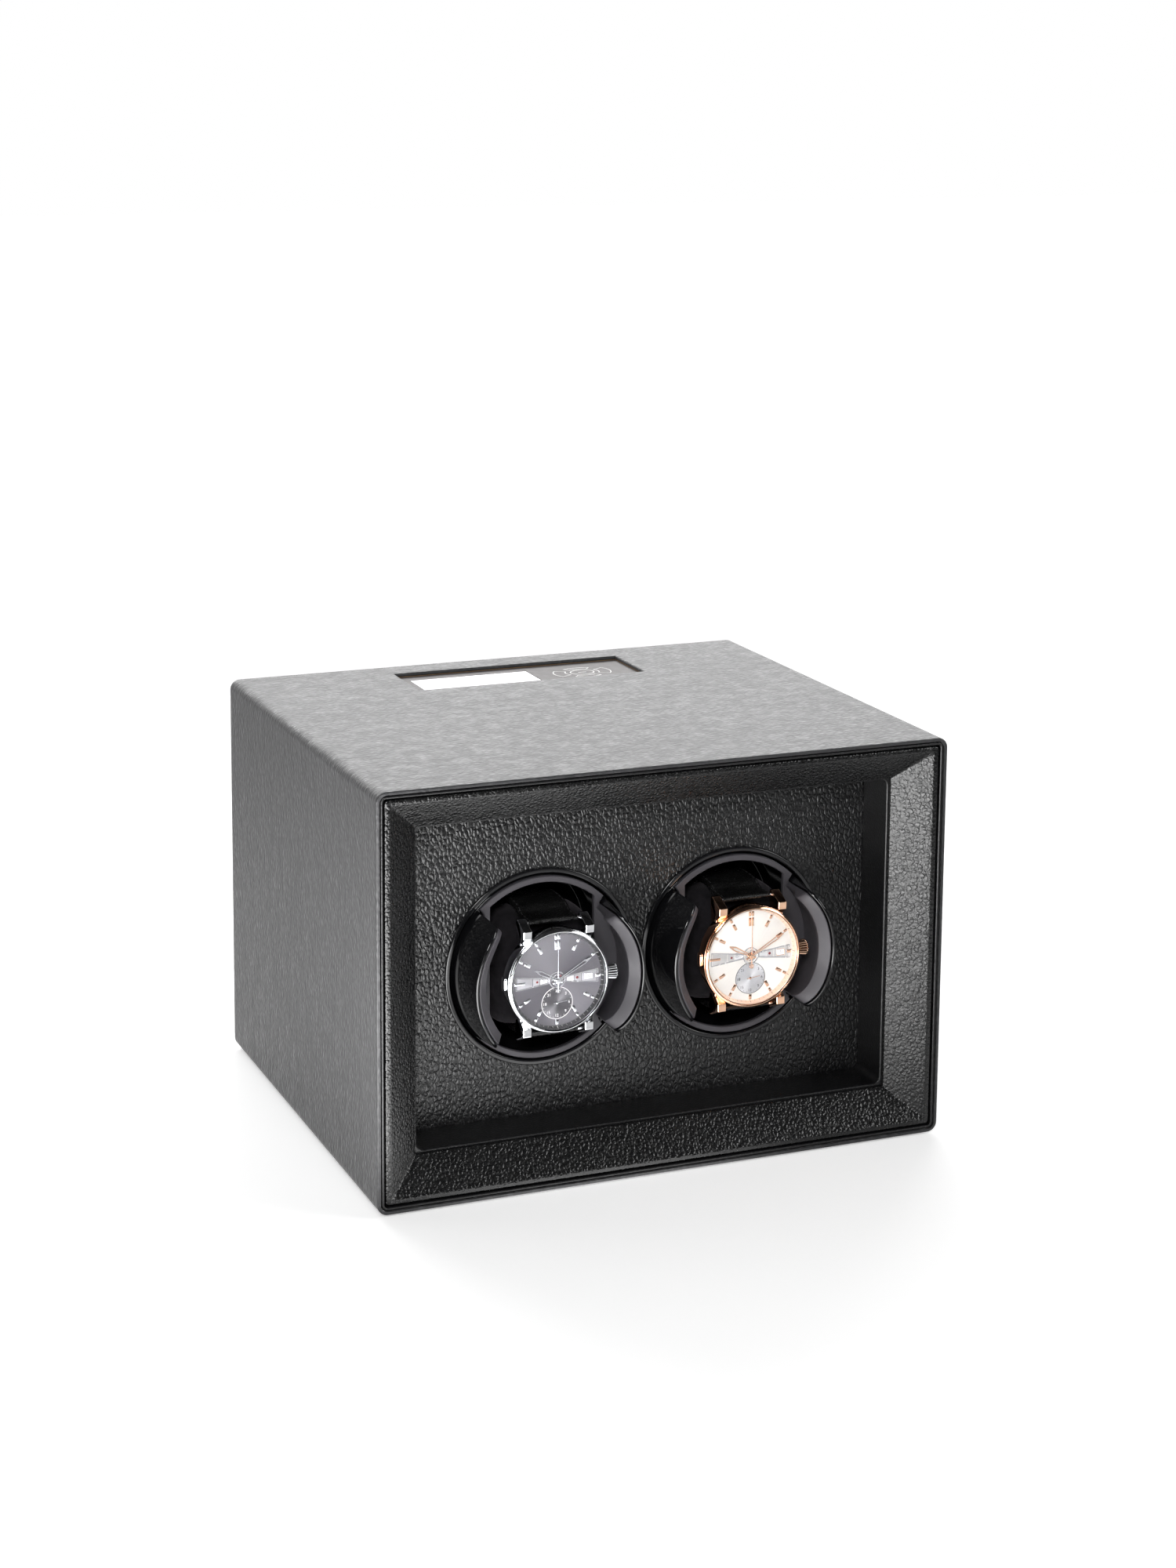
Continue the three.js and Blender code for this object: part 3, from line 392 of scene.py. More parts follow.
plainLooks = {
    "glossBlack": {"colour": (0.004, 0.004, 0.005), "second": (0.008, 0.008, 0.009), "rough": (0.06, 0.12),
                   "grain": 500.0, "strength": 0.02},
    "satinGrey": {"colour": (0.052, 0.049, 0.056), "second": (0.062, 0.058, 0.066), "rough": (0.44, 0.54),
                  "grain": 5000.0, "strength": 0.25},
    "carcassBoard": {"colour": (0.30, 0.20, 0.115), "second": (0.20, 0.13, 0.07), "rough": (0.7, 0.9),
                     "patch": 400.0, "grain": 2500.0, "strength": 0.5},
    "rearBoard": {"colour": (0.012, 0.012, 0.014), "second": (0.019, 0.019, 0.021), "rough": (0.45, 0.65),
                  "grain": 2600.0, "strength": 0.6, "relief": 0.0001},
    "screwSteel": {"colour": (0.05, 0.05, 0.055), "second": (0.09, 0.09, 0.095), "rough": (0.25, 0.45),
                   "grain": 1500.0, "sockets": {"Metallic": 1.0}},
    "felt": {"colour": (0.022, 0.022, 0.024), "second": (0.04, 0.04, 0.042), "rough": (0.9, 1.0),
             "patch": 600.0,
             "grain": 4000.0, "strength": 0.8, "relief": 0.0003, "sockets": {"Sheen Weight": 0.4}},
    "steel": {"colour": (0.55, 0.55, 0.56), "second": (0.66, 0.66, 0.68), "rough": (0.18, 0.3),
              "squeeze": (0.1, 1.0, 0.1), "grain": 3000.0, "sockets": {"Metallic": 1.0}},
    "bronze": {"colour": (0.45, 0.29, 0.14), "second": (0.6, 0.4, 0.2), "rough": (0.3, 0.5), "patch": 300.0,
               "grain": 3000.0, "sockets": {"Metallic": 1.0}},
    "beltRubber": {"colour": (0.01, 0.01, 0.01), "second": (0.02, 0.02, 0.02), "rough": (0.6, 0.8),
                   "squeeze": (1.0, 0.05, 1.0), "grain": 1200.0, "strength": 0.5},
    "pulleyPlastic": {"colour": (0.66, 0.65, 0.6), "second": (0.75, 0.74, 0.7), "rough": (0.35, 0.5),
                      "grain": 1800.0},
    "motorMetal": {"colour": (0.42, 0.42, 0.43), "second": (0.55, 0.55, 0.57), "rough": (0.3, 0.45),
                   "patch": 120.0, "grain": 900.0, "sockets": {"Metallic": 1.0}},
    "circuitBoard": {"colour": (0.01, 0.12, 0.045), "second": (0.015, 0.17, 0.07), "rough": (0.2, 0.4),
                     "patch": 220.0, "grain": 700.0},
    "displayPlate": {"colour": (0.055, 0.044, 0.043), "second": (0.065, 0.053, 0.051), "rough": (0.3, 0.38),
                     "grain": 4000.0, "strength": 0.1, "sockets": {"Specular IOR Level": 0.15}},
    "inletPlastic": {"colour": (0.01, 0.01, 0.01), "second": (0.018, 0.018, 0.018), "rough": (0.35, 0.5),
                     "grain": 3000.0},
    "printWhite": {"colour": (0.8, 0.79, 0.78), "second": (0.86, 0.85, 0.84), "rough": (0.4, 0.5),
                   "grain": 4000.0},
    "polishedSteel": {"colour": (0.72, 0.73, 0.75), "second": (0.8, 0.81, 0.83), "rough": (0.05, 0.12),
                      "patch": 200.0, "grain": 900.0, "strength": 0.03, "sockets": {"Metallic": 1.0}},
    "polishedGold": {"colour": (0.86, 0.52, 0.35), "second": (0.92, 0.6, 0.42), "rough": (0.06, 0.14),
                     "patch": 200.0, "grain": 900.0, "strength": 0.03, "sockets": {"Metallic": 1.0}},
    "silverPlate": {"colour": (0.62, 0.62, 0.63), "second": (0.72, 0.72, 0.72), "rough": (0.3, 0.42),
                    "patch": 300.0, "squeeze": (0.1, 1.0, 1.0), "grain": 9000.0, "strength": 0.2,
                    "sockets": {"Metallic": 0.6}},
    "darkPrint": {"colour": (0.012, 0.012, 0.014), "second": (0.03, 0.03, 0.034), "rough": (0.4, 0.5),
                  "grain": 4000.0},
    "ruby": {"colour": (0.12, 0.01, 0.015), "second": (0.2, 0.015, 0.02), "rough": (0.05, 0.1), "patch": 900.0,
             "grain": 2000.0, "strength": 0.05, "sockets": {"Coat Weight": 1.0}},
    "thread": {"colour": (0.012, 0.012, 0.013), "second": (0.02, 0.02, 0.021), "rough": (0.6, 0.8),
               "squeeze": (1.0, 0.3, 1.0), "grain": 9000.0, "strength": 0.6},
}
finishes = {name: plainFinish(name, look) for name, look in plainLooks.items()}


def leatherFinish(name, look):
    # Pebbles stretched by the squeeze, painted shade that darkens the creases, polish on the tops.
    made, tree, shader, where = newMaterial(name, look.get("sockets", {}))
    squeezed = vectorOf(tree, "MULTIPLY", where, look.get("squeeze", (1.0, 1.0, 1.0)))
    grain = useGroup(tree, "pebble", {"Vector": squeezed, "Scale": look["pebbles"], "Wander": look["wander"],
                                      "Crease width": look["crease"], "Pores": look["pores"]})
    patches = useGroup(tree, "patches", {"Vector": where, "Scale": look["patch"]})
    lines = useGroup(tree, "lines", {"Vector": where, "Squeeze": look["streak"], "Scale": look["streaks"]})
    base = blendColour(tree, patches["Value"], look["colour"], look["second"])
    # Painted shade: the creases are darkened towards the crease colour by the given share.
    paintedCreaseShade = calculate(tree, "MULTIPLY", grain["Crease"], look["creaseShade"])
    uneven = 0.0
    for source, share in ((patches["Fine"], 0.4), (lines["Value"], 0.5), (grain["Crease"], 0.5)):
        uneven = calculate(tree, "ADD", uneven, calculate(tree, "MULTIPLY", source, share))
    height = calculate(tree, "ADD", grain["Height"], calculate(tree, "MULTIPLY", lines["Value"], look["veins"]))
    wear(tree, shader, blendColour(tree, paintedCreaseShade, base, look["creaseShadeColour"]), between(tree, uneven, *look["rough"]),
         height, look["strength"], look["relief"])
    return made


# Each leather's crease colour and share paint shade into the creases of its grain.
leatherLooks = {
    "caseLeather": {"colour": (0.014, 0.014, 0.016), "second": (0.022, 0.022, 0.025),
                    "creaseShadeColour": (0.006, 0.006, 0.007),
                    "creaseShade": 0.8, "pebbles": 640.0, "wander": 0.0016, "crease": 0.5, "pores": 0.05,
                    "squeeze": (0.42, 1.0, 0.42), "patch": 18.0, "streak": (0.1, 1.0, 0.1), "streaks": 260.0,
                    "veins": 1.1, "rough": (0.27, 0.58), "strength": 0.7, "relief": 0.00017,
                    "sockets": {"Specular IOR Level": 0.7, "Sheen Weight": 0.25, "Sheen Roughness": 0.35}},
    "frameLeather": {"colour": (0.005, 0.005, 0.0055), "second": (0.008, 0.008, 0.009),
                     "creaseShadeColour": (0.002, 0.002, 0.002),
                     "creaseShade": 0.9, "pebbles": 600.0, "wander": 0.0016, "crease": 0.36, "pores": 0.02,
                     "patch": 25.0, "streak": (1.0, 1.0, 0.35), "streaks": 400.0, "veins": 0.25,
                     "rough": (0.18, 0.3), "strength": 0.7, "relief": 0.00017,
                     "sockets": {"Specular IOR Level": 0.5}},
    "panelLeather": {"colour": (0.010, 0.010, 0.011), "second": (0.016, 0.016, 0.017),
                     "creaseShadeColour": (0.004, 0.004, 0.004),
                     "creaseShade": 0.8, "pebbles": 560.0, "wander": 0.002, "crease": 0.34, "pores": 0.02,
                     "squeeze": (1.0, 1.0, 0.7), "patch": 22.0, "streak": (1.0, 1.0, 0.45), "streaks": 240.0,
                     "veins": 0.35, "rough": (0.22, 0.36), "strength": 0.9, "relief": 0.00028,
                     "sockets": {"Specular IOR Level": 0.42}},
    "linerLeather": {"colour": (0.004, 0.004, 0.0045), "second": (0.007, 0.007, 0.008),
                     "creaseShadeColour": (0.002, 0.002, 0.002),
                     "creaseShade": 0.5, "pebbles": 800.0, "wander": 0.0008, "crease": 0.4, "pores": 0.05,
                     "patch": 25.0, "streak": (1.0, 0.4, 1.0), "streaks": 900.0, "veins": 0.2,
                     "rough": (0.26, 0.4), "strength": 0.5, "relief": 0.0001,
                     "sockets": {"Specular IOR Level": 0.5}},
}
finishes.update({name: leatherFinish(name, look) for name, look in leatherLooks.items()})
print("finishes made:", len(finishes))


# Case

caseLow, caseHigh = nodeBox("leather_cover")
caseMiddleZ = (caseLow[2] + caseHigh[2]) / 2
halfWidth, halfHeight = caseHigh[0], caseHigh[2] - caseMiddleZ
caseDepth = caseHigh[1]
plateLow, plateHigh = nodeBox("touch_panel")
plateMargin = 0.3
hole = {"low": plateLow[:2] - plateMargin, "high": plateHigh[:2] + plateMargin}


def caseRing(insetX, insetZ, radius, topX, cornerSteps):
    # One closed line round the case, its top side cut at the given places.
    a, b = halfWidth - insetX - radius, halfHeight - insetZ - radius
    turns = np.linspace(0, math.pi / 2, cornerSteps + 1)
    parts = []
    for corner, (signX, signZ) in enumerate(((1, 1), (-1, 1), (-1, -1), (1, -1))):
        angle = turns + corner * math.pi / 2
        parts.append(np.stack([signX * a + radius * np.cos(angle), signZ * b + radius * np.sin(angle)], 1))
        if corner == 0 and len(topX):
            parts.append(np.stack([topX, np.full(len(topX), b + radius)], 1))
    return np.concatenate(parts)


def frameSurface(profile, cornerSteps=6):
    # Profile rows of (inset at the sides, inset at top and bottom, depth, corner radius), carried round.
    grid = []
    for insetX, insetZ, depth, radius in profile:
        ring = caseRing(insetX, insetZ, radius, (), cornerSteps)
        grid.append(np.insert(ring + (0, caseMiddleZ), 1, depth, axis=1))
    return surface(np.array(grid), wrapRows=True, wrapColumns=True)


coverSizes = {"leather": 1.4, "lip": 0.6, "edge": 4.5, "holeRound": 0.9, "holeGap": 4, "topEnd": 118,
              "endGap": 3, "cornerSteps": 10, "lipSteps": 5}


def caseCover():
    # A sleeve of leather: an outer and an inner sheet on one grid, joined at both ends and round the
    # display's hole. The outer sheet rolls in at the ends and dips by a quarter circle at the hole.
    size = coverSizes
    near = np.array([0.0, 0.12, 0.3, 0.55, 0.9]) * size["holeRound"] / 0.9
    gap, topEnd, endGap = size["holeGap"], size["topEnd"], size["endGap"]
    topX = np.concatenate([np.linspace(topEnd, hole["high"][0] + gap, 8), hole["high"][0] + near[::-1],
                           np.linspace(hole["high"][0], hole["low"][0], 14)[1:-1],
                           hole["low"][0] - near, np.linspace(hole["low"][0] - gap, -topEnd, 8)])
    turn = np.linspace(0, math.pi / 2, size["lipSteps"] + 1)
    lip = np.stack([size["lip"] * (1 - np.sin(turn)), size["lip"] * (1 - np.cos(turn))], 1)
    body = np.concatenate([np.linspace(endGap, hole["low"][1] - gap, 16), hole["low"][1] - near[::-1],
                           np.linspace(hole["low"][1], hole["high"][1], 8)[1:-1],
                           hole["high"][1] + near, [hole["high"][1] + gap + 1, caseDepth - endGap]])
    rows = [(i, d) for i, d in lip] + [(0.0, d) for d in body] + [(i, caseDepth - d) for i, d in lip[::-1]]

    def sheet(amounts):
        rings = [caseRing(a, a, size["edge"] - a, topX, size["cornerSteps"]) for a in amounts]
        return np.array([np.insert(ring, 1, depth, axis=1) for ring, (_, depth) in zip(rings, rows)])

    outer, inner = sheet([amount for amount, _ in rows]), sheet([size["leather"]] * len(rows))
    onTop = outer[..., 2] > halfHeight - 0.01
    outside = np.maximum(hole["low"] - outer[..., :2], outer[..., :2] - hole["high"]).clip(0)
    away = np.linalg.norm(outside, axis=-1)
    roll = size["holeRound"]
    dip = roll - np.sqrt(np.maximum(roll ** 2 - (roll - away).clip(0) ** 2, 0))
    outer[..., 2] -= np.where(onTop, dip, 0)
    return thickSheet(outer, inner, caseMiddleZ)


def thickSheet(outer, inner, lift):
    # Keeps the faces outside the hole and walls up every edge that only one kept face uses.
    rows, columns = outer.shape[:2]
    quads = quadsOf(rows, columns, False, True).reshape(-1, 4)
    points = np.concatenate([outer.reshape(-1, 3), inner.reshape(-1, 3)]) + (0, 0, lift)
    centre = points[quads].mean(1)
    within = np.all((centre[:, :2] > hole["low"]) & (centre[:, :2] < hole["high"]), 1)
    quads = quads[~(within & (centre[:, 2] > caseHigh[2] - 2))]
    edges = np.concatenate([quads[:, [i, (i + 1) % 4]] for i in range(4)])
    keys = np.sort(edges, 1) @ (rows * columns, 1)
    _, first, count = np.unique(keys, return_index=True, return_counts=True)
    border = edges[first[count == 1]]
    below = rows * columns
    walls = np.stack([border[:, 1], border[:, 0], border[:, 0] + below, border[:, 1] + below], 1)
    faces = quads.tolist() + (quads[:, ::-1] + below).tolist() + walls.tolist()
    return outward(points, faces)


bezelSizes = {"inset": 3.7, "rim": 2.4, "rimDepth": 0.7, "openingSide": 20.6, "openingTop": 19.2,
              "bevelDepth": 12.3, "back": 13.6, "rimRound": 0.95, "corner": 1.6, "innerCorner": 0.35}


def frontBezel():
    # The rim and the long bevel are one padded profile; its corners are mitred almost sharp.
    size = bezelSizes
    reach = size["openingSide"] - size["inset"]
    profile = rounded([(0, size["back"]), (0, size["rimDepth"], size["rimRound"]),
                       (size["rim"], size["rimDepth"], 1.4), (reach, size["bevelDepth"], 0.45),
                       (reach, size["back"])], 6)
    rows = []
    for across, depth in profile:
        share = across / reach
        insetZ = size["inset"] + share * (size["openingTop"] - size["inset"])
        radius = size["corner"] + share * (size["innerCorner"] - size["corner"])
        rows.append((size["inset"] + across, insetZ, depth, radius))
    return frameSurface(rows, 5)


beadSizes = {"inset": 1.9, "width": 1.2, "front": 0.3, "length": 7.0}


def pipingBead():
    size = beadSizes
    a, b = size["inset"], size["inset"] + size["width"]
    profile = rounded([(b, size["front"] + size["length"]), (b, size["front"], 0.59), (a, size["front"], 0.59),
                       (a, size["front"] + size["length"])], 6)
    return frameSurface([(i, i, d, coverSizes["edge"] - i) for i, d in profile], 8)


linerSizes = {"step": 1.0, "thickness": 2.4, "corner": 3.0, "front": 13.9, "back": 34.9, "edge": 0.7}


def cavityLiner():
    size = linerSizes
    a, b = size["step"], size["step"] - size["thickness"]
    profile = rounded([(a, size["back"]), (a, size["front"], size["edge"]), (b, size["front"]),
                       (b, size["back"])], 6)
    return frameSurface([(bezelSizes["openingSide"] + i, bezelSizes["openingTop"] + i, d,
                          size["corner"] + a - i)
                         for i, d in profile], 8)


footSizes = {"radius": 9.0, "edge": 0.3}


def buildCase():
    makePiece("caseCover", caseCover(), finishes["caseLeather"], "case", ["leather_cover"])
    makePiece("frontFrame", frontBezel(), finishes["frameLeather"], "case", ["front_bezel"])
    makePiece("frontBead", pipingBead(), finishes["linerLeather"], "case", ["piping_bead"])
    makePiece("cavityLining", cavityLiner(), finishes["linerLeather"], "case",
              ["cavity_liner"])
    dress("case_carcass", finishes["carcassBoard"])
    dress("motor_bulkhead", finishes["carcassBoard"])
    dress("rear_panel", finishes["rearBoard"])
    dress("rotor_panel", finishes["panelLeather"])
    for i in range(1, 5):
        low, high = nodeBox(f"foot_{i}")
        middle = (low + high) / 2
        edge, radius, top = footSizes["edge"], footSizes["radius"], high[2]
        pad = turned(rounded([(0, 0), (radius, 0, edge), (radius, top, edge), (0, top)], 3), 40)
        lying = outward(pad[0][:, [0, 2, 1]] + (middle[0], middle[1], 0), pad[1])
        makePiece(f"feltFoot{i}", lying, finishes["felt"], "case", [f"foot_{i}"])
    print("case built")


# Back

screwSizes = {"head": 3.5, "shank": 1.6, "headHeight": 1.7, "socket": 1.25, "socketDepth": 1.1}


def rearScrew(low, high):
    # A domed head with a six-sided socket: two turned outlines, the inner one six-sided at its floor.
    size = screwSizes
    top, under = high[1], high[1] - size["headHeight"]
    head, shank, socket, floor = size["head"], size["shank"], size["socket"], top - size["socketDepth"]
    angle = np.linspace(0, 2 * math.pi, 48, endpoint=False)
    six = math.cos(math.pi / 6) / np.cos((angle + math.pi / 6) % (math.pi / 3) - math.pi / 6)
    rows = [(0.02, low[1], 0), (shank * 0.6, low[1] + 1.5, 0), (shank, low[1] + 3, 0), (shank, under, 0),
            (head - 0.15, under, 0), (head, under + 0.15, 0), (head - 0.1, under + 0.7, 0),
            (head - 0.7, top - 0.25, 0), (socket + 0.5, top, 0), (socket + 0.12, top, 1),
            (socket, top - 0.12, 1), (socket, floor, 1), (0.02, floor - 0.2, 0)]
    grid = []
    for radius, depth, sides in rows:
        reach = radius * (six if sides else np.ones_like(angle))
        grid.append(np.stack([reach * np.cos(angle), np.full_like(angle, depth), reach * np.sin(angle)], 1))
    return surface(np.array(grid), wrapColumns=True, caps=True)


inletSizes = {"flange": 7.0, "flangeHeight": 1.5, "body": 5.0, "bore": 3.2, "boreLength": 9.0, "pin": 1.0}


def supplyInlet(low, high):
    size = inletSizes
    start, end = low[1], high[1]
    body, flange, bore, pin = size["body"], size["flange"], size["bore"], size["pin"]
    floor, step = end - size["boreLength"], end - size["flangeHeight"]
    return turned(rounded([
        (0, start), (body, start, 0.4), (body, step), (flange, step, 0.2), (flange, end, 0.5), (bore, end, 0.3),
        (bore, floor), (pin, floor), (pin, end - 1, 0.3), (0, end - 1)], 3), 48)


def buildBack():
    jobs = [(f"rearScrew{i}", f"rear_screw_{i}", rearScrew, "screwSteel", "screw_steel") for i in range(1, 5)]
    jobs.append(("supplyInlet", "dc_inlet", supplyInlet, "inletPlastic", "inlet_plastic"))
    for label, node, shapeOf, material, slotName in jobs:
        low, high = nodeBox(node)
        middle = (low + high) / 2
        makePiece(label, moved(shapeOf(low, high), middle[0], 0, middle[2]), finishes[material], "case",
                  [node])
    dress("control_board", finishes["circuitBoard"])
    dress("display_board", finishes["circuitBoard"])
    for node, material in (("motor", "motorMetal"), ("motor_pulley", "pulleyPlastic"), ("belt", "beltRubber"),
                           ("bearing", "bronze"), ("spindle", "steel")):
        for name in ("left", "right"):
            dress(f"{node}_{name}", finishes[material])
    print("back and drive dressed")


# Display

iconSizes = {"x": 33.4, "depth": 179.8, "width": 29.0, "length": 22.5, "line": 0.55, "height": 0.05,
             "ring": 0.42, "segmentInner": 0.56, "segmentOuter": 0.8, "sideReach": 0.2,
             "endReach": 0.06, "halfArc": 33.0}


def lcdFinish():
    # A lit display: an even white glow with a fine grid of dots.
    made, tree, shader, where = newMaterial("litDisplay", {"Roughness": 0.25, "Emission Strength": 0.75})
    dots = addNode(tree, "ShaderNodeTexVoronoi", {"feature": "F1"},
                   {"Vector": where, "Scale": 2400.0, "Randomness": 0.0})
    patches = useGroup(tree, "patches", {"Vector": where, "Scale": 40.0})
    base = blendColour(tree, patches["Value"], (0.86, 0.86, 0.88), (0.9, 0.9, 0.91))
    lit = addNode(tree, "ShaderNodeMix", {"data_type": "RGBA", "blend_type": "MULTIPLY"},
                  {0: 1.0, 6: base, 7: between(tree, dots.outputs["Distance"], 1.0, 0.93)})
    for key in ("Base Color", "Emission Color"):
        tree.links.new(lit.outputs[2], shader.inputs[key])
    return made


def iconShape(top):
    # Lines on the plate: a ring in the middle, four arc-shaped keys round it and a bar between.
    size = iconSizes
    a, b, high = size["width"] / 2, size["length"] / 2, size["height"]

    def arc(radius, start, stop, steps, whole=False):
        turn = np.radians(np.linspace(start, stop, steps, endpoint=not whole))
        return np.stack([np.cos(turn) * radius * a, np.sin(turn) * radius * b], 1)

    edges = [arc(size["ring"], 0, 360, 64, True)]
    for middle in (0, 90, 180, 270):
        start, stop = middle - size["halfArc"], middle + size["halfArc"]
        outer = size["segmentOuter"] + (size["sideReach"] if middle % 180 == 0 else size["endReach"])
        edges.append(np.concatenate([arc(outer, start, stop, 25),
                                     arc(size["segmentInner"], start, stop, 25)[::-1]]))
    shapes = [ringPlate(edge, inset(edge, size["line"]), 0, high) for edge in edges]
    shapes.append(plate(rectangle(4.2, 0.6, 0, 0, 0.25), 0, high))
    points, faces = together(*shapes)
    flat = np.stack([points[:, 0] + size["x"], points[:, 2] + size["depth"], top + high - points[:, 1]], 1)
    return outward(flat, faces)


def buildDisplay():
    dress("touch_panel", finishes["displayPlate"])
    dress("lcd_display", lcdFinish())
    makePiece("touchKeys", iconShape(plateHigh[2]), finishes["printWhite"], "case")
    print("display built")


# Rotors

trimLow, trimHigh = nodeBox("trim_ring_right")
rotorX = (trimLow[0] + trimHigh[0]) / 2
rotorZ = (trimLow[2] + trimHigh[2]) / 2
sides = {"left": -1, "right": 1}


def atRotor(shape, name):
    return moved(shape, sides[name] * rotorX, 0, rotorZ)


def putAtSide(name, label, shape, material, body, replaced=(), sharp=35):
    # A piece of one side's rotor or watch, moved to that side and named for it.
    nodes = [f"{node}_{name}" for node in replaced]
    return makePiece(f"{label}-{name}", atRotor(shape, name), finishes[material], body, nodes, sharp)


trimSizes = {"inner": 41.2, "outer": 43.4, "sleeve": 41.7, "front": 33.9, "face": 34.9, "back": 40.2}


def trimRing():
    keys = ("inner", "outer", "sleeve", "front", "face", "back")
    inner, outer, sleeve, front, face, back = (trimSizes[key] for key in keys)
    return turned(rounded([(inner, back), (inner, front, 0.7), (outer, front, 0.75), (outer, face),
                           (sleeve, face), (sleeve, back)], 6), 160)


drumSizes = {"radius": 40.4, "wall": 2.0, "rim": 35.3, "floor": 75.0, "back": 78.0, "hub": 12.0, "bore": 3.3,
             "pulleyFront": 80.0, "pulleyBack": 87.0, "flange": 28.3, "flangeThickness": 1.5, "groove": 24.0}
wingSizes = {"front": 10.4, "halfArc": 44.0, "frontRadius": 38.3, "innerRadius": 37.0, "rootDepth": 37.3,
             "flat": 13.0, "halfHeight": 27.2, "shoulder": 19.0, "round": 0.55}
gripSizes = {"radius": 36.7, "chamferStart": 36.2, "lipRadius": 32.3, "lipDepth": 15.0, "lipHeight": 1.8,
             "backRadius": 34.3, "back": 32.7, "front": 10.9, "round": 0.5}
rimSizes = {"outer": 40.1, "inner": 37.5, "halfOpening": 23.6, "notch": 36.7, "front": 33.0, "back": 35.0,
            "notchArc": 45.0, "notchStep": 0.012, "edge": 0.35}


def wingSetback(angle, radius):
    # How far the front edge of a wing lies behind its middle at this angle: none on the straight part,
    # then the square of one less a square root, down to the shoulder.
    size = wingSizes
    height = np.abs(radius * np.sin(angle))
    fall = 1 - np.sqrt(((size["halfHeight"] - height) / (size["halfHeight"] - size["flat"])).clip(0, 1))
    return (size["shoulder"] - size["front"]) * fall ** 2


arcSteps = {"along": 72, "end": 6}


def arcPiece(outline, side, halfArc, roundness, setbackRadius):
    # A (radius, depth, follows) outline carried along an arc. Points that follow the front edge move
    # back with it, and the outline shrinks by a quarter circle at both ends.
    base = outline[:, :2]
    follows = outline[:, 2]
    end = math.radians(halfArc)
    step = np.linspace(0, math.pi / 2, arcSteps["end"])
    lead = roundness * (1 - np.cos(step)) / setbackRadius
    along = np.linspace(-end, end, arcSteps["along"])[2:-2]
    angles = np.concatenate([-end + lead, along, end - lead[::-1]])
    shrink = roundness * (1 - np.sin(step))
    shrink = np.concatenate([shrink, np.zeros(len(along)), shrink[::-1]])
    grid = []
    for angle, amount, back in zip(angles, shrink, wingSetback(angles, setbackRadius)):
        line = inset(base, amount)
        depth = line[:, 1] + follows * back
        grid.append(np.stack([side * line[:, 0] * math.cos(angle), depth, line[:, 0] * math.sin(angle)], 1))
    return surface(np.array(grid), wrapColumns=True, caps=True)


def withFollow(outline, limit):
    return np.insert(outline, 2, (outline[:, 1] < limit).astype(float), axis=1)


def wing(side):
    size = wingSizes
    outline = rounded([(size["innerRadius"], size["rootDepth"]), (size["innerRadius"], size["front"], 0.5),
                       (size["frontRadius"], size["front"], 0.7), (drumSizes["radius"], size["rootDepth"])], 5)
    return arcPiece(withFollow(outline, size["shoulder"]), side, size["halfArc"], size["round"],
                    size["frontRadius"])


def drum():
    size = drumSizes
    inner = size["radius"] - size["wall"]
    thick = size["flangeThickness"]
    cup = turned(rounded([
        (size["bore"], size["floor"]), (inner, size["floor"], 3.0), (inner, size["rim"], 0.4),
        (size["radius"], size["rim"], 0.4), (size["radius"], size["back"], 1.2),
        (size["hub"], size["back"], 1.0),
        (size["hub"], size["pulleyFront"]), (size["flange"], size["pulleyFront"], 0.4),
        (size["flange"], size["pulleyFront"] + thick, 0.4), (size["groove"], size["pulleyFront"] + thick),
        (size["groove"], size["pulleyBack"] - thick), (size["flange"], size["pulleyBack"] - thick, 0.4),
        (size["flange"], size["pulleyBack"], 0.4), (size["bore"], size["pulleyBack"])], 5), 144)
    return together(cup, wing(-1), wing(1))


def grip(side):
    size = gripSizes
    lipBack = size["lipDepth"] + size["lipHeight"]
    outline = rounded([
        (size["radius"], size["back"]), (size["radius"], size["front"] + 0.8, 0.5),
        (size["chamferStart"], size["front"], 0.5), (size["lipRadius"], size["lipDepth"], 0.7),
        (size["lipRadius"], lipBack, 0.5),
        (size["backRadius"], lipBack + size["backRadius"] - size["lipRadius"], 0.8),
        (size["backRadius"], size["back"])], 5)
    return arcPiece(withFollow(outline, 20.0), side, wingSizes["halfArc"] - 0.2, size["round"],
                    wingSizes["frontRadius"])


def rimRing():
    # A plate whose two outlines are read at the same angles: the outer one steps in at the wings, the
    # inner one is a circle cut by two upright lines.
    size = rimSizes
    notch, step = math.radians(size["notchArc"]), size["notchStep"]
    corner = math.acos(size["halfOpening"] / size["inner"])
    quarters = [i * math.pi / 2 + np.linspace(0, math.pi / 2, 46, endpoint=False) for i in range(4)]
    keys = [notch - step, notch - step / 3, notch + step / 3, notch + step, corner - 0.02, corner,
            corner + 0.02]
    mirrored = np.concatenate([half * math.pi + sign * np.array(keys) for half in (0, 1) for sign in (1, -1)])
    angle = np.unique(np.round(np.concatenate([*quarters, mirrored % (2 * math.pi)]), 6))
    fromWing = np.abs((angle + math.pi / 2) % math.pi - math.pi / 2)
    share = ((fromWing - notch + step) / (2 * step)).clip(0, 1)
    outer = size["notch"] + (size["outer"] - size["notch"]) * share * share * (3 - 2 * share)
    inner = np.minimum(size["inner"], size["halfOpening"] / np.abs(np.cos(angle)).clip(0.05))
    way = np.stack([np.cos(angle), np.sin(angle)], 1)
    return ringPlate(outer[:, None] * way, inner[:, None] * way, size["front"], size["back"], size["edge"])


def buildRotor(name):
    body = f"rotor_{name}"
    putAtSide(name, "trimRing", trimRing(), "glossBlack", "case", ["trim_ring"])
    putAtSide(name, "drum", drum(), "glossBlack", body, ["drum"], 40)
    putAtSide(name, "rimRing", rimRing(), "satinGrey", body, ["rim_ring"])
    for label, side in (("west", -1), ("east", 1)):
        putAtSide(name, f"grip-{label}", grip(side), "satinGrey", body, [f"grip_{label}"], 50)
    print("rotor built:", name)


# Cushion and strap

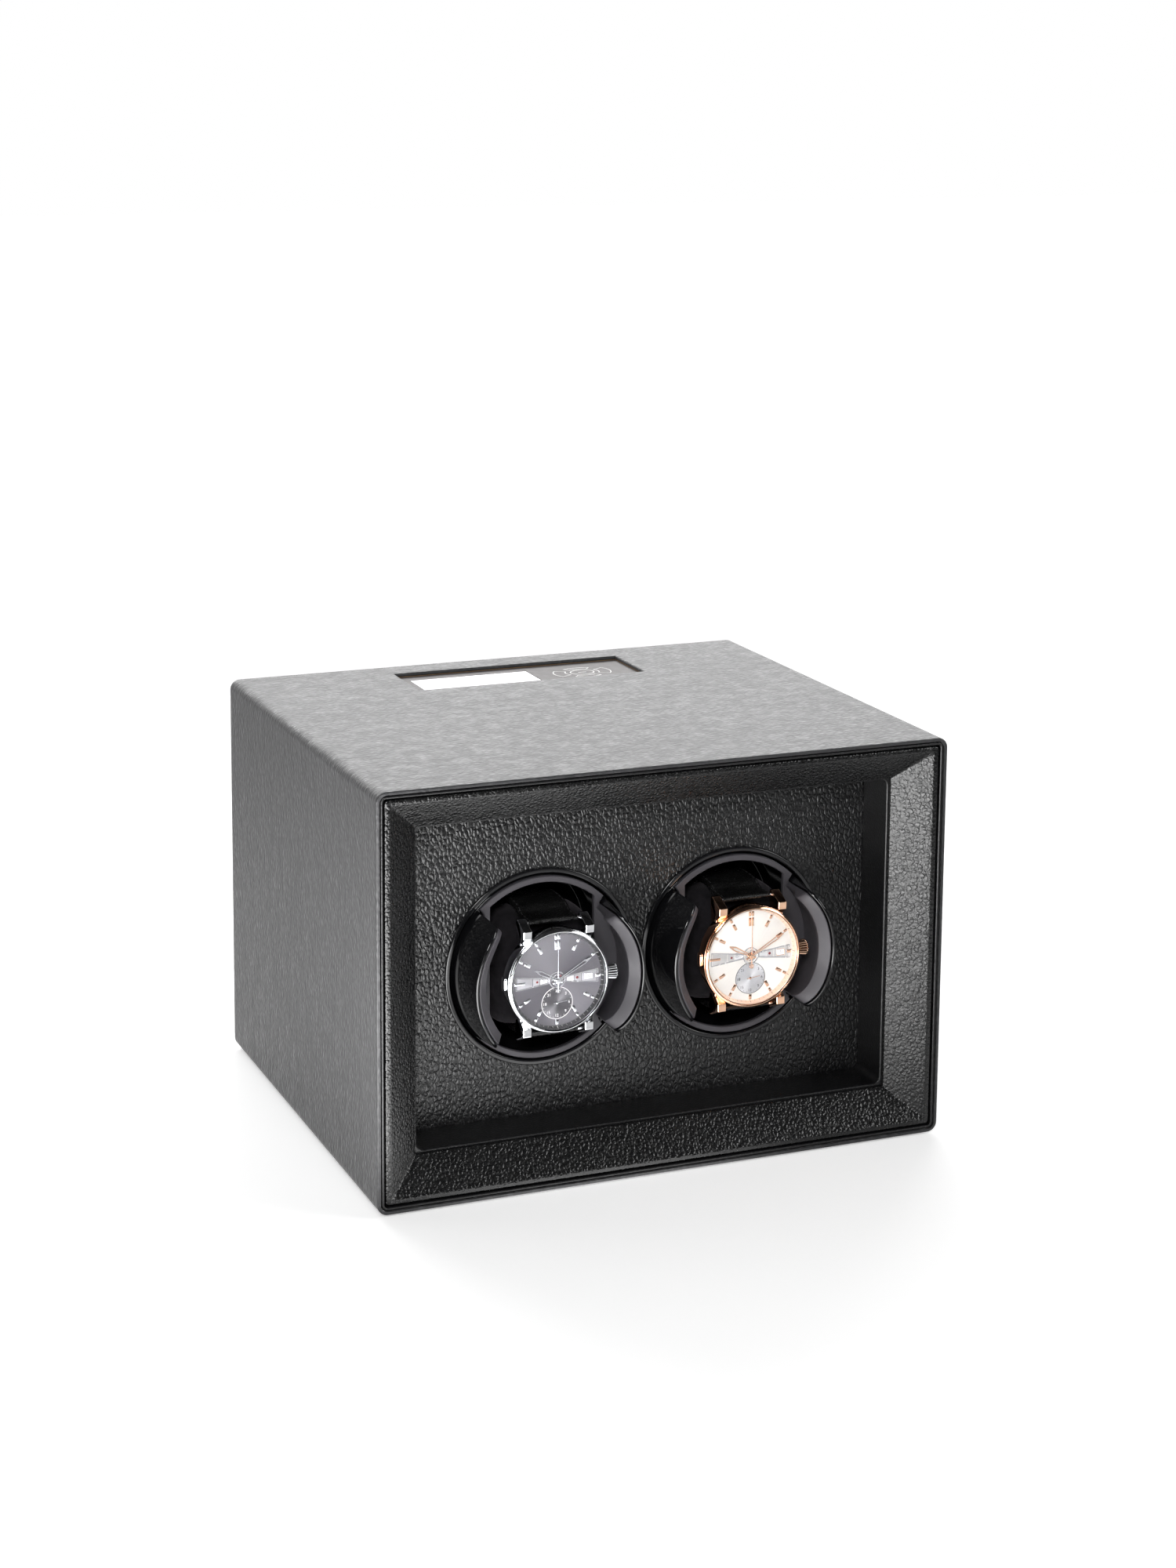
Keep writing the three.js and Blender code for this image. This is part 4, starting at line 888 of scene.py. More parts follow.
cushionSizes = {"halfWidth": 22.5, "halfHeight": 26.5, "halfDepth": 20.0, "power": 2.8, "middle": 43.9,
                "start": 0.955, "voxel": 1.7, "most": 1.0, "pressure": 4.0, "scale": 8.0,
                "quality": 6, "stiffness": 30, "frames": 14, "draw": 0.16}


def cushionLine(angle, grow):
    # The side view is a superellipse: depth and height to the powers of cosine and sine.
    size = cushionSizes
    power = 2 / size["power"]
    across, up = np.cos(angle), np.sin(angle)
    depth = size["middle"] - np.sign(across) * np.abs(across) ** power * (size["halfDepth"] + grow)
    return depth, np.sign(up) * np.abs(up) ** power * (size["halfHeight"] + grow)


def cushionShape():
    # The side view carried across, drawn in by the sixth power of how far it is from the middle.
    size = cushionSizes
    angle = np.linspace(0, 2 * math.pi, 96, endpoint=False)
    across = np.sin(np.linspace(-math.pi / 2, math.pi / 2, 40))
    draw = 1 - size["draw"] * np.abs(across) ** 6
    depth, height = cushionLine(angle, 0)
    grid = [np.stack([np.full_like(angle, x * size["halfWidth"]), size["middle"] + (depth - size["middle"]) * d,
                      height * d], 1) for x, d in zip(across, draw)]
    return surface(np.array(grid), wrapColumns=True, caps=True)


def pointsOf(mesh):
    points = np.zeros(len(mesh.vertices) * 3)
    mesh.vertices.foreach_get("co", points)
    return points.reshape(-1, 3)


def padOut(piece):
    # Cloth under pressure, worked at several times the size about the pad's own middle, then capped.
    size = cushionSizes
    mesh = piece.data
    points = pointsOf(mesh)
    middle = (points.max(0) + points.min(0)) / 2
    mesh.vertices.foreach_set("co", ((points - middle) * size["start"] * size["scale"]).ravel())
    bpy.context.view_layer.objects.active = piece
    remesh = piece.modifiers.new("remesh", "REMESH")
    remesh.mode = "VOXEL"
    remesh.voxel_size = size["voxel"] * size["scale"] * mm
    remesh.use_smooth_shade = True
    bpy.ops.object.modifier_apply(modifier="remesh")
    mesh = piece.data
    before = pointsOf(mesh)
    cloth = piece.modifiers.new("cloth", "CLOTH")
    cloth.settings.use_pressure = True
    cloth.settings.uniform_pressure_force = size["pressure"]
    cloth.settings.effector_weights.gravity = 0
    cloth.settings.quality = size["quality"]
    cloth.settings.tension_stiffness = size["stiffness"]
    for step in range(1, size["frames"] + 1):
        bpy.context.scene.frame_set(step)
    depsgraph = bpy.context.evaluated_depsgraph_get()
    push = pointsOf(piece.evaluated_get(depsgraph).data) - before
    length = np.linalg.norm(push, axis=1, keepdims=True) + 1e-12
    limit = size["most"] * size["scale"] * mm
    before = before + push * np.minimum(1, limit / length)
    piece.modifiers.remove(cloth)
    bpy.context.scene.frame_set(1)
    mesh.vertices.foreach_set("co", (before / size["scale"] + middle).ravel())
    mesh.update()
    fine = piece.modifiers.new("fine", "SUBSURF")
    fine.levels = fine.render_levels = 1


def suedeFinish():
    # Short nap: mottled by which way it lies, with a soft sheen.
    made, tree, shader, where = newMaterial("cushionSuede", {
        "Roughness": 0.95, "Sheen Weight": 0.12, "Sheen Roughness": 0.4, "Specular IOR Level": 0.2,
        "Sheen Tint": (0.6, 0.55, 0.6, 1.0)})
    patches = useGroup(tree, "patches", {"Vector": where, "Scale": 220.0})
    wear(tree, shader, blendColour(tree, patches["Value"], (0.004, 0.0035, 0.0045), (0.012, 0.0105, 0.013)),
         None, noise(tree, where, 3800.0)[0], 0.8, 0.0002)
    return made


strapSizes = {"width": 23.0, "thickness": 2.3, "grow": 1.5, "ends": 58.0, "barBack": 3.3, "barUp": 1.95,
              "roll": 1.15,
              "pad": 0.35, "padHalf": 0.86, "scale": 4.6, "columns": 5, "scaleDepth": 0.16, "scaleHalf": 0.84,
              "groove": 0.28, "rim": 0.35, "rimStart": 0.93, "stitch": 2.3, "stitchGap": 3.3,
              "stitchRadius": 0.2, "stitchInset": 2.0, "stitchEnd": 4}


def smoothLine(points, count):
    # Catmull-Rom through the points, then respaced evenly along its length.
    points = np.array(points, float)
    padded = np.concatenate([[2 * points[0] - points[1]], points, [2 * points[-1] - points[-2]]])
    t = np.linspace(0, 1, 24, endpoint=False)[:, None]
    spans = []
    for a, b, c, d in zip(padded, padded[1:], padded[2:], padded[3:]):
        spans.append(0.5 * (2 * b + (c - a) * t + (2 * a - 5 * b + 4 * c - d) * t ** 2
                            + (3 * b - a - 3 * c + d) * t ** 3))
    dense = np.concatenate([*spans, points[-1:]])
    run = np.concatenate([[0], np.cumsum(np.linalg.norm(np.diff(dense, axis=0), axis=1))])
    even = np.linspace(0, run[-1], count)
    return np.stack([np.interp(even, run, dense[:, i]) for i in range(2)], 1), run[-1]


def strapLine(watchBack, watchRadius):
    size = strapSizes
    ends = math.radians(size["ends"])
    angle = np.linspace(ends, 2 * math.pi - ends, 15)
    depth, height = cushionLine(angle, size["grow"])
    start = (watchBack - size["barBack"], watchRadius + size["barUp"])
    points = [start, *np.stack([depth, height], 1), (start[0], -start[1])]
    return smoothLine(points, 320)


def strap(watchBack, watchRadius):
    # A flat section with a padded outside is carried along the line; scales are pressed into the
    # outside as rows of rounded rectangles that alternate like bricks.
    size = strapSizes
    line, length = strapLine(watchBack, watchRadius)
    along = np.gradient(line, axis=0)
    along /= np.linalg.norm(along, axis=1, keepdims=True)
    out = np.stack([along[:, 1], -along[:, 0]], 1)
    middle = line.mean(0)
    out *= np.sign(np.sum((line - middle) * out, axis=1, keepdims=True))
    w = np.linspace(-1, 1, 49)
    run = np.linspace(0, length, len(line))[:, None]
    half = size["width"] / 2
    cellLength, cellWidth = size["scale"], size["width"] / size["columns"]
    column = (w * half + half) / cellWidth
    row = np.floor(column)
    u = (run / cellLength + (row % 2) * 0.5 + 0.06 * np.sin(run * 2.1 + row * 1.7)) % 1
    v = (column % 1)[None]
    groove = np.minimum(np.minimum(u, 1 - u) * cellLength, np.minimum(v, 1 - v) * cellWidth)
    scaled = np.abs(w)[None] < size["scaleHalf"]
    pressed = size["scaleDepth"] * np.exp(-(groove / size["groove"]) ** 2) * scaled
    pad = size["pad"] * np.sqrt((1 - (w / size["padHalf"]) ** 2).clip(0, 1))[None] + 0 * run
    rim = size["rim"] * ((np.abs(w) - size["rimStart"]).clip(0) / (1 - size["rimStart"])) ** 2
    top = size["thickness"] / 2 - size["pad"] + pad - pressed - rim[None]
    bottom = -size["thickness"] / 2 + rim[None] * 0.6 + 0 * top
    fromEnd = np.minimum(run, length - run).clip(0, size["roll"]) / size["roll"]
    offset = np.concatenate([top, bottom[:, ::-1]], 1) * np.sqrt(1 - (1 - fromEnd) ** 2).clip(0.05)
    x = np.concatenate([w, w[::-1]]) * half
    depth = line[:, 0:1] + out[:, 0:1] * offset
    z = line[:, 1:2] + out[:, 1:2] * offset
    grid = np.stack([x[None] + 0 * depth, depth, z], -1)
    return surface(grid, wrapColumns=True, caps=True), line, out, length


def stitches(line, out, length):
    # Each stitch is a short six-sided rod with drawn-in ends, laid along both edges of the strap.
    size = strapSizes
    lift = size["thickness"] / 2 - size["pad"] + 0.02
    turn = np.linspace(0, 2 * math.pi, 6, endpoint=False)
    profile = [(-1.0, 0.25), (-0.7, 1.0), (0.7, 1.0), (1.0, 0.25)]
    shapes = []
    for place in np.arange(size["stitchEnd"], length - size["stitchEnd"], size["stitchGap"]):
        i = int(place / length * (len(line) - 1))
        along = line[min(i + 1, len(line) - 1)] - line[i]
        along /= np.linalg.norm(along) + 1e-9
        centre = line[i] + out[i] * lift
        for side in (-1, 1):
            x = side * (size["width"] / 2 - size["stitchInset"] / 2)
            rows = []
            for step, thick in profile:
                middle = centre + along * step * size["stitch"] / 2
                radius = size["stitchRadius"] * thick
                lifted = middle + out[i] * radius * np.sin(turn)[:, None]
                rows.append(np.column_stack([x + radius * np.cos(turn), lifted]))
            shapes.append(surface(np.array(rows), wrapColumns=True, caps=True))
    return together(*shapes)


def strapFinish():
    # Fine pebbles over the pressed scales, and a waxy polish that varies.
    made, tree, shader, where = newMaterial("strapLeather", {})
    grain = useGroup(tree, "pebble", {"Vector": where, "Scale": 1400.0, "Wander": 0.0004, "Crease width": 0.2,
                                      "Pores": 0.2})
    patches = useGroup(tree, "patches", {"Vector": where, "Scale": 120.0})
    wear(tree, shader, blendColour(tree, patches["Value"], (0.003, 0.003, 0.003), (0.007, 0.007, 0.007)),
         between(tree, patches["Fine"], 0.2, 0.38), grain["Height"], 0.4, 0.0001)
    return made


finishes["cushionSuede"] = suedeFinish()
finishes["strapLeather"] = strapFinish()


def buildHolder(name):
    body = f"holder_{name}"
    piece = putAtSide(name, "cushion", cushionShape(), "cushionSuede", body, ["cushion"], 60)
    padOut(piece)
    low, high = nodeBox(f"watch_case_{name}")
    shape, line, out, length = strap(high[1], (high[0] - low[0]) / 2)
    putAtSide(name, "strap", shape, "strapLeather", body, ["watch_strap"], 50)
    putAtSide(name, "strapStitches", stitches(line, out, length), "thread", body)
    print("cushion and strap built:", name)


# Watch

watchSizes = {"radius": 22.6, "front": 13.1, "back": 23.6, "opening": 21.4, "seat": 17.2, "backRadius": 20.4,
              "bezelEdge": 14.4, "groove": 0.22, "bezelStep": 0.12, "bezelSlope": 0.45}


def watchCase():
    size = watchSizes
    r, opening, backRadius = size["radius"], size["opening"], size["backRadius"]
    front, back, edge = size["front"], size["back"], size["bezelEdge"]
    side = r - size["bezelStep"]
    body = turned(rounded([
        (0, size["seat"]), (opening, size["seat"]), (opening, front, 0.2), (opening + 0.35, front, 0.15),
        (side, front + size["bezelSlope"], 0.4), (side, edge, 0.1), (side - size["groove"], edge + 0.05),
        (side - size["groove"], edge + 0.3), (r, edge + 0.35, 0.12), (r, back - 3.0, 1.2),
        (backRadius, back - 0.3, 0.6), (backRadius - 1.4, back, 0.2), (0, back)], 5), 160)
    lugs = [lug(side, up) for side in (-1, 1) for up in (-1, 1)]
    # A small rounded corrector stands on the flank opposite the crown.
    stud = plate(rectangle(3.2, 6.4, 0, 0, 1.5, 6), -0.5, 0.75, 0.35, 4)
    flank = outward(stud[0][:, [1, 0, 2]] * (-1, 1, 1) + (-r, (front + back) / 2 + 0.6, 0), stud[1])
    return together(body, *lugs, flank)


lugSizes = {"inner": 12.1, "width": 3.9, "reach": 26.4, "root": 15, "edge": 0.4, "bar": 0.75,
            "barFromBack": 2.4, "barOut": 1.95}


def lug(side, up):
    # A short flat facet beside the bezel, a long slope out to the tip and a flat back.
    size = lugSizes
    front, back, r, reach = watchSizes["front"], watchSizes["back"], watchSizes["radius"], size["reach"]
    outline = [(front + 4.4, r - 5.6), (front + 1.1, r - 2.9, 0.2), (front + 0.9, r + 0.35, 0.25),
               (front + 8.4, reach, 1.2), (back - 0.6, reach, 0.5), (back, reach - 1.6, 0.5),
               (back - 0.8, size["root"], 0.3), (watchSizes["seat"] + 0.5, size["root"])]
    line = rounded([(depth, up * z, *radius) for depth, z, *radius in outline], 5)
    start = size["inner"] if side > 0 else -size["inner"] - size["width"]
    return acrossX(plate(line, start, start + size["width"], size["edge"], 4))


def springBars():
    # The bars that hold the strap, seen in the gap between the lugs.
    size = lugSizes
    depth, reach = watchSizes["back"] - size["barFromBack"], watchSizes["radius"] + size["barOut"]
    half = size["inner"] + 0.2
    return together(*[acrossX(plate(circle(size["bar"], depth, up * reach, 20), -half, half, 0.1))
                      for up in (-1, 1)])


crownSizes = {"radius": 3.5, "stemStart": 20.9, "start": 23.2, "end": 28.3, "flutes": 18, "flute": 0.5,
              "stem": 0.8, "depth": 18.85}


def crown():
    # The radius follows a rounded profile along X, less a ripple of flutes on its straight part.
    size = crownSizes
    profile = rounded([(size["stemStart"], 0), (size["stemStart"], size["stem"]), (size["start"], size["stem"]),
                       (size["start"], 2.9, 0.3), (size["end"] - 0.9, size["radius"], 0.6),
                       (size["end"], 2.6, 0.4), (size["end"], 0)], 6, False)
    turn = np.linspace(0, 2 * math.pi, size["flutes"] * 8, endpoint=False)
    ripple = (0.5 - 0.5 * np.cos(turn * size["flutes"])) ** 1.5
    share = ((profile[:, 1] - 1.6) / 1.2).clip(0, 1)
    radius = profile[:, 1][:, None] - size["flute"] * share[:, None] * ripple[None]
    x = profile[:, 0][:, None] + 0 * radius
    grid = np.stack([x, size["depth"] + radius * np.cos(turn), radius * np.sin(turn)], -1)
    return surface(grid, wrapColumns=True)


dialSizes = {"radius": 21.1, "front": 16.3, "back": 16.9, "hole": 0.7, "track": 19.85, "trackOuter": 20.95,
             "trackFront": 14.5, "markerHeight": 0.3, "bridgeInner": 3.2, "bridgeOuter": 18.6,
             "subRadius": 7.0, "subDrop": 10.0, "date": 14.2}
tickSizes = {"long": (0.09, 1.6), "short": (0.05, 1.15), "start": 0.3, "thickness": 0.03}


def dialPlate():
    size = dialSizes
    return turned([(size["hole"], size["front"]), (size["radius"], size["front"]),
                   (size["radius"], size["back"]), (size["hole"], size["back"])], 144)


def chapterRing():
    # A steep collar between the dial and the glass.
    size = dialSizes
    return turned(rounded([
        (size["track"], size["front"] - 0.02, 0.05), (size["trackOuter"], size["trackFront"], 0.05),
        (size["radius"], size["trackFront"]), (size["radius"], size["front"] - 0.02)], 3), 144)


def minuteTicks():
    # Sixty lines on the collar's slope, each a thin plate turned into place.
    size = dialSizes
    lean = math.atan2(size["front"] - size["trackFront"], size["trackOuter"] - size["track"])
    start, thick = tickSizes["start"], tickSizes["thickness"]
    shapes = []
    for minute in range(60):
        half, length = tickSizes["short" if minute % 5 else "long"]
        tick = plate([(-half, start), (half, start), (half, length), (-half, length)], 0, thick)
        x, depth, up = tick[0].T
        radius = size["track"] + up * math.cos(lean) - (thick - depth) * math.sin(lean)
        height = size["front"] - up * math.sin(lean) - (thick - depth) * math.cos(lean)
        shapes.append(spun(outward(np.stack([x, height, radius], 1), tick[1]), minute * 6))
    return together(*shapes)


# From and to what radius each baton reaches, and its width; the hours not named have the plain pair.
batons = {"plain": ((17.9, 19.6, 1.1), (14.0, 16.9, 1.3)), 3: ((17.3, 19.5, 1.3),), 6: ((17.3, 19.5, 1.3),),
          9: ((14.4, 19.2, 1.1),), 12: ((17.6, 19.6, 2.4), (13.2, 16.9, 2.4))}


def hourMarkers():
    # Twelve is double: each of its blocks is two bars side by side.
    front, height = dialSizes["front"], dialSizes["markerHeight"]
    shapes = []
    for hour in range(1, 13):
        for low, high, width in batons.get(hour, batons["plain"]):
            pair = [(side * (width / 4 + 0.06), width / 2 - 0.14) for side in (-1, 1)]
            bars = pair if hour == 12 else [(0, width)]
            for x, wide in bars:
                bar = plate(rectangle(wide, high - low, x, (low + high) / 2), front - height, front, 0.09)
                shapes.append(spun(bar, hour * 30))
    return together(*shapes)


def bowTie(side, inner, outer, low, high, rounds=(0.2, 0.3)):
    # A plate's outline that widens from half height low at one radius to high at the other.
    small, large = rounds
    return rounded([(side * inner, -low, small), (side * outer, -high, large), (side * outer, high, large),
                    (side * inner, low, small)])


def bridge():
    # Two plates that widen from the middle to nine and to three o'clock, cut out like a bow tie.
    size = dialSizes
    front, a, b = size["front"], size["bridgeInner"], size["bridgeOuter"]
    shapes = [ringPlate(bowTie(side, a, b, 1.25, 3.1), bowTie(side, a + 0.9, b - 0.35, 0.75, 2.65),
                        front - 0.1, front, 0.03)
              for side in (-1, 1)]
    shapes.append(ringPlate(circle(3.7, count=64), circle(3.15, count=64), front - 0.16, front, 0.05))
    shapes.append(ringPlate(circle(1.6, count=48), circle(0.75, count=48), front - 0.12, front, 0.03))
    return together(*shapes)


def bridgeFill(spans):
    # Plates inside the bow tie, on both sides, between the given radii.
    front = dialSizes["front"]
    shapes = []
    for side in (-1, 1):
        for a, b, lift in spans:
            h, k = (0.7 + (x - 4) * 0.13 for x in (a, b))
            shapes.append(plate(bowTie(side, a, b, h, k, (0.15, 0.15)), front - lift, front, 0.02))
    return together(*shapes)


def wheel(radius, teeth, x, z, lift):
    # A toothed rim, a hub and five spokes.
    turn = np.linspace(0, 2 * math.pi, teeth * 4, endpoint=False)
    tooth = radius - 0.14 * (np.arange(teeth * 4) % 4 > 1)
    rim = np.stack([tooth * np.cos(turn), tooth * np.sin(turn)], 1)
    front = dialSizes["front"]
    shapes = [ringPlate(rim, circle(radius * 0.78, count=teeth * 4), front - lift, front - lift + 0.06),
              plate(circle(radius * 0.24, count=16), front - lift - 0.03, front - lift + 0.06)]
    for i in range(5):
        bar = plate(rectangle(radius * 0.12, radius * 0.62, 0, radius * 0.48), front - lift,
                    front - lift + 0.05)
        shapes.append(spun(bar, i * 72))
    return moved(together(*shapes), x, 0, z)


def jewels():
    front = dialSizes["front"]
    places = [(9.0, 0, 0.6), (-9.0, 0, 0.5), (1.5, 1.6, 0.4), (-1.5, -1.5, 0.4), (1.9, -1.2, 0.35)]
    dome = [(0, -0.14), (0.5, -0.12), (0.85, -0.05), (1.0, 0.0)]
    shapes = []
    for x, z, radius in places:
        profile = [(a * radius, front - 0.04 + b) for a, b in dome] + [(radius, front), (0, front)]
        shapes.append(moved(turned(profile, 24), x, 0, z))
    return together(*shapes)


def subDialRing():
    front, radius = dialSizes["front"], dialSizes["subRadius"]
    ring = ringPlate(circle(radius, count=96), circle(radius - 0.22, count=96), front - 0.1, front, 0.03)
    return moved(ring, 0, 0, -dialSizes["subDrop"])


def subDialFace():
    # A shallow face with turned steps.
    front, rim = dialSizes["front"], dialSizes["subRadius"] - 0.24
    profile = [(0, front - 0.03), (2.4, front - 0.03), (2.5, front - 0.05), (4.7, front - 0.05),
               (4.8, front - 0.03), (rim, front - 0.03), (rim, front), (0, front)]
    return moved(turned(profile, 96), 0, 0, -dialSizes["subDrop"])


def subDialDots():
    size = dialSizes
    shapes = []
    for hour in range(24):
        if hour % 3:
            dot = plate(rectangle(0.12, 0.5, 0, size["subRadius"] - 0.75), size["front"] - 0.045, size["front"])
            shapes.append(spun(dot, hour * 15))
    return moved(together(*shapes), 0, 0, -size["subDrop"])


def subDialHand():
    size = dialSizes
    outline = [(-0.13, -1.6), (0.13, -1.6), (0.07, 4.6), (-0.07, 4.6)]
    needle = plate(outline, size["front"] - 0.16, size["front"] - 0.1)
    hub = plate(circle(0.55, count=24), size["front"] - 0.2, size["front"] - 0.03, 0.03)
    return moved(together(spun(needle, 83), hub), 0, 0, -size["subDrop"])


def dateFrame():
    size = dialSizes
    outer, inner = rectangle(3.6, 2.9, size["date"], 0, 0.2), rectangle(3.1, 2.4, size["date"], 0, 0.1)
    return ringPlate(outer, inner, size["front"] - 0.2, size["front"], 0.08)


def dateFace():
    return plate(rectangle(3.1, 2.4, dialSizes["date"], 0), dialSizes["front"] - 0.09, dialSizes["front"])


def numeral(text, height, x, z, front):
    # Flat lettering made into a mesh first, then stood up facing the front.
    curve = bpy.data.curves.new("numeral", "FONT")
    curve.body = text
    curve.size = height * 1.4
    curve.align_x, curve.align_y = "CENTER", "CENTER"
    curve.extrude = 0.012
    curve.resolution_u = 3
    holder = bpy.data.objects.new("numeral", curve)
    bpy.context.scene.collection.objects.link(holder)
    mesh = bpy.data.meshes.new_from_object(holder.evaluated_get(bpy.context.evaluated_depsgraph_get()))
    points = pointsOf(mesh)
    faces = [list(face.vertices) for face in mesh.polygons]
    bpy.data.objects.remove(holder)
    bpy.data.curves.remove(curve)
    bpy.data.meshes.remove(mesh)
    points = points - (points.max(0) + points.min(0)) / 2
    return np.stack([points[:, 0] + x, front - points[:, 2], points[:, 1] + z], 1), faces


def subDialNumerals():
    size = dialSizes
    shapes = []
    for i, text in enumerate(("24", "3", "6", "9", "12", "15", "18", "21")):
        angle = math.radians(i * 45)
        reach = size["subRadius"] - 1.6
        shapes.append(numeral(text, 1.25, reach * math.sin(angle), reach * math.cos(angle) - size["subDrop"],
                              size["front"] - 0.05))
    return together(*shapes)


def dateNumber():
    return numeral("5", 1.5, dialSizes["date"], 0, dialSizes["front"] - 0.1)


crystalSizes = {"radius": 21.1, "edge": 13.5, "thickness": 0.9, "dome": 0.5, "round": 0.15}


def crystal():
    # The front is a shallow dome: it falls off with the square of the radius.
    size = crystalSizes
    edge, full, flat = size["edge"], size["radius"], size["radius"] - size["round"]
    dome = [(r, edge - size["dome"] * (1 - (r / full) ** 2)) for r in np.linspace(0, flat, 24)]
    rim = rounded([(flat, edge - 0.01), (full, edge, 0.1), (full, edge + size["thickness"], 0.1),
                   (0, edge + size["thickness"])], 3, False)
    return turned([*dome, *rim[1:]], 128)


handSizes = {
    "hour": {"length": 11.5, "half": 1.0, "rail": 0.45, "start": 1.2, "shoulder": 8.4, "depth": 15.85},
    "minute": {"length": 17.5, "half": 0.85, "rail": 0.38, "start": 1.2, "shoulder": 14.0, "depth": 15.4},
    "seconds": {"length": 18.5, "tail": 5.0, "half": 0.18, "depth": 14.95, "post": 16.75},
    "thickness": 0.2, "boss": 1.5, "hole": 0.6}
handAngles = {"hour": 297, "minute": 61, "seconds": 0}


def skeletonHand(kind):
    # Two rails that meet in a point, a bar across near the point, and a boss with a hole.
    size = handSizes[kind]
    w, rail, start, shoulder, tip = size["half"], size["rail"], size["start"], size["shoulder"], size["length"]
    front, back = size["depth"], size["depth"] + handSizes["thickness"]
    narrow, point = w * 0.55, shoulder + (tip - shoulder) * 0.35
    outer = [(-narrow, start), (narrow, start), (w, shoulder), (0.12, tip), (-0.12, tip), (-w, shoulder)]
    inner = [(-narrow + rail, start + 0.4), (narrow - rail, start + 0.4), (w - rail, shoulder - 0.1),
             (0.03, point), (-0.03, point), (-w + rail, shoulder - 0.1)]
    hole, boss = handSizes["hole"], handSizes["boss"]
    disc = turned(rounded([(hole, front), (boss, front, 0.07), (boss, back), (hole, back)], 3), 40)
    tail = plate(rectangle(0.8, 1.4, 0, -1.9), front, back, 0.05)
    return spun(together(ringPlate(outer, inner, front, back, 0.05), disc, tail), handAngles[kind])


def secondsHand():
    size = handSizes["seconds"]
    front, back = size["depth"], size["depth"] + handSizes["thickness"]
    tail, half, tip = size["tail"], size["half"], size["length"]
    outline = [(-0.2, -tail), (0.2, -tail), (half, 1), (0.06, tip), (-0.06, tip), (-half, 1)]
    needle = plate(outline, front, back, 0.04)
    hub = turned(rounded([(0, front - 0.12), (0.95, front - 0.12, 0.12), (1.0, back), (0.4, back),
                          (0.4, size["post"]), (0, size["post"])], 3), 40)
    weight = ringPlate(circle(0.95, 0, 0.6 - tail, 32), circle(0.6, 0, 0.6 - tail, 32), front, back, 0.04)
    return spun(together(needle, hub, weight), handAngles["seconds"])


def dialFinish(name, middleX, middleZ, look):
    # Fine rays from the middle, and two opposite fans of painted highlight where the brushed metal would catch
    # light.
    # The fans are the cosine of the angle from their line, raised to a power, and lighten the colour towards
    # the second one.
    made, tree, shader, where = newMaterial(name, look.get("sockets", {}))
    centred = vectorOf(tree, "SUBTRACT", where, (middleX * mm, 0.0, middleZ * mm))
    parts = addNode(tree, "ShaderNodeSeparateXYZ", None, {0: centred}).outputs
    angle = calculate(tree, "ARCTAN2", parts["Z"], parts["X"])
    rays = addNode(tree, "ShaderNodeTexNoise", {"noise_dimensions": "1D"},
                   {"W": angle, "Scale": look["rays"], "Detail": 3.0}).outputs[0]
    cosine = calculate(tree, "COSINE", calculate(tree, "SUBTRACT", angle, look["highlightAngle"]))
    paintedFan = calculate(tree, "POWER", calculate(tree, "ABSOLUTE", cosine), look["highlightPower"])
    patches = useGroup(tree, "patches", {"Vector": where, "Scale": 30.0})
    # Painted highlight: the fans, together with the rays' own tone, lighten the colour towards the second one.
    raysAndHighlight = calculate(tree, "ADD", calculate(tree, "MULTIPLY", paintedFan, 0.75),
                     calculate(tree, "MULTIPLY", rays, 0.3))
    wear(tree, shader, blendColour(tree, raysAndHighlight, look["colour"], look["second"]),
         between(tree, patches["Fine"], *look["rough"]), rays, 0.15, 0.00003)
    return made


def crystalFinish():
    # Clear sapphire that lets light through to the dial, with the faintest tint in patches.
    made, tree, shader, where = newMaterial(
        "sapphire", {"IOR": 1.3, "Transmission Weight": 1.0, "Roughness": 0.0})
    patches = useGroup(tree, "patches", {"Vector": where, "Scale": 160.0})
    tint = blendColour(tree, patches["Value"], (0.98, 0.98, 1.0), (1.0, 1.0, 1.0))
    light = tree.nodes.new("ShaderNodeLightPath")
    tree.links.new(tint, shader.inputs["Base Color"])
    tree.links.new(calculate(tree, "SUBTRACT", 1.0, light.outputs["Is Shadow Ray"]), shader.inputs["Alpha"])
    return made


def dialLook(colour, second, metallic, rays=14.0, highlightAngle=-0.9, highlightPower=2.0, rough=(0.3, 0.34)):
    return {"colour": colour, "second": second, "rays": rays, "highlightAngle": highlightAngle, "highlightPower": highlightPower,
            "rough": rough, "sockets": {"Metallic": metallic}}


# Each dial's second colour is the painted highlight of its fans, mixed in with the rays.
dialLooks = {
    "left": dialLook((0.085, 0.081, 0.092), (0.19, 0.183, 0.2), 0.5, rough=(0.3, 0.33)),
    "right": dialLook((0.52, 0.50, 0.465), (0.64, 0.62, 0.585), 0.1),
}
smallDialLooks = {
    "left": dialLook((0.05, 0.048, 0.054), (0.24, 0.235, 0.25), 0.6, 10.0, 0.9, 6.0),
    "right": dialLook((0.36, 0.36, 0.37), (0.62, 0.62, 0.63), 0.4, 10.0, 0.9, 6.0),
}
chapterLooks = {
    "left": {"colour": (0.035, 0.036, 0.04), "second": (0.07, 0.07, 0.075), "rough": (0.25, 0.35),
             "grain": 4000.0, "sockets": {"Metallic": 0.7}},
    "right": {"colour": (0.82, 0.56, 0.42), "second": (0.9, 0.66, 0.52), "rough": (0.28, 0.36), "grain": 4000.0,
              "sockets": {"Metallic": 0.5}},
}
bridgeLooks = {
    "left": {"colour": (0.3, 0.295, 0.31), "second": (0.4, 0.395, 0.41), "sockets": {"Metallic": 0.4}},
    "right": {"colour": (0.34, 0.335, 0.33), "second": (0.46, 0.45, 0.44), "sockets": {"Metallic": 0.3}},
}
bridgeSurface = {"rough": (0.3, 0.4), "squeeze": (0.1, 1.0, 1.0), "grain": 2000.0, "strength": 0.1}
finishes["sapphire"] = crystalFinish()
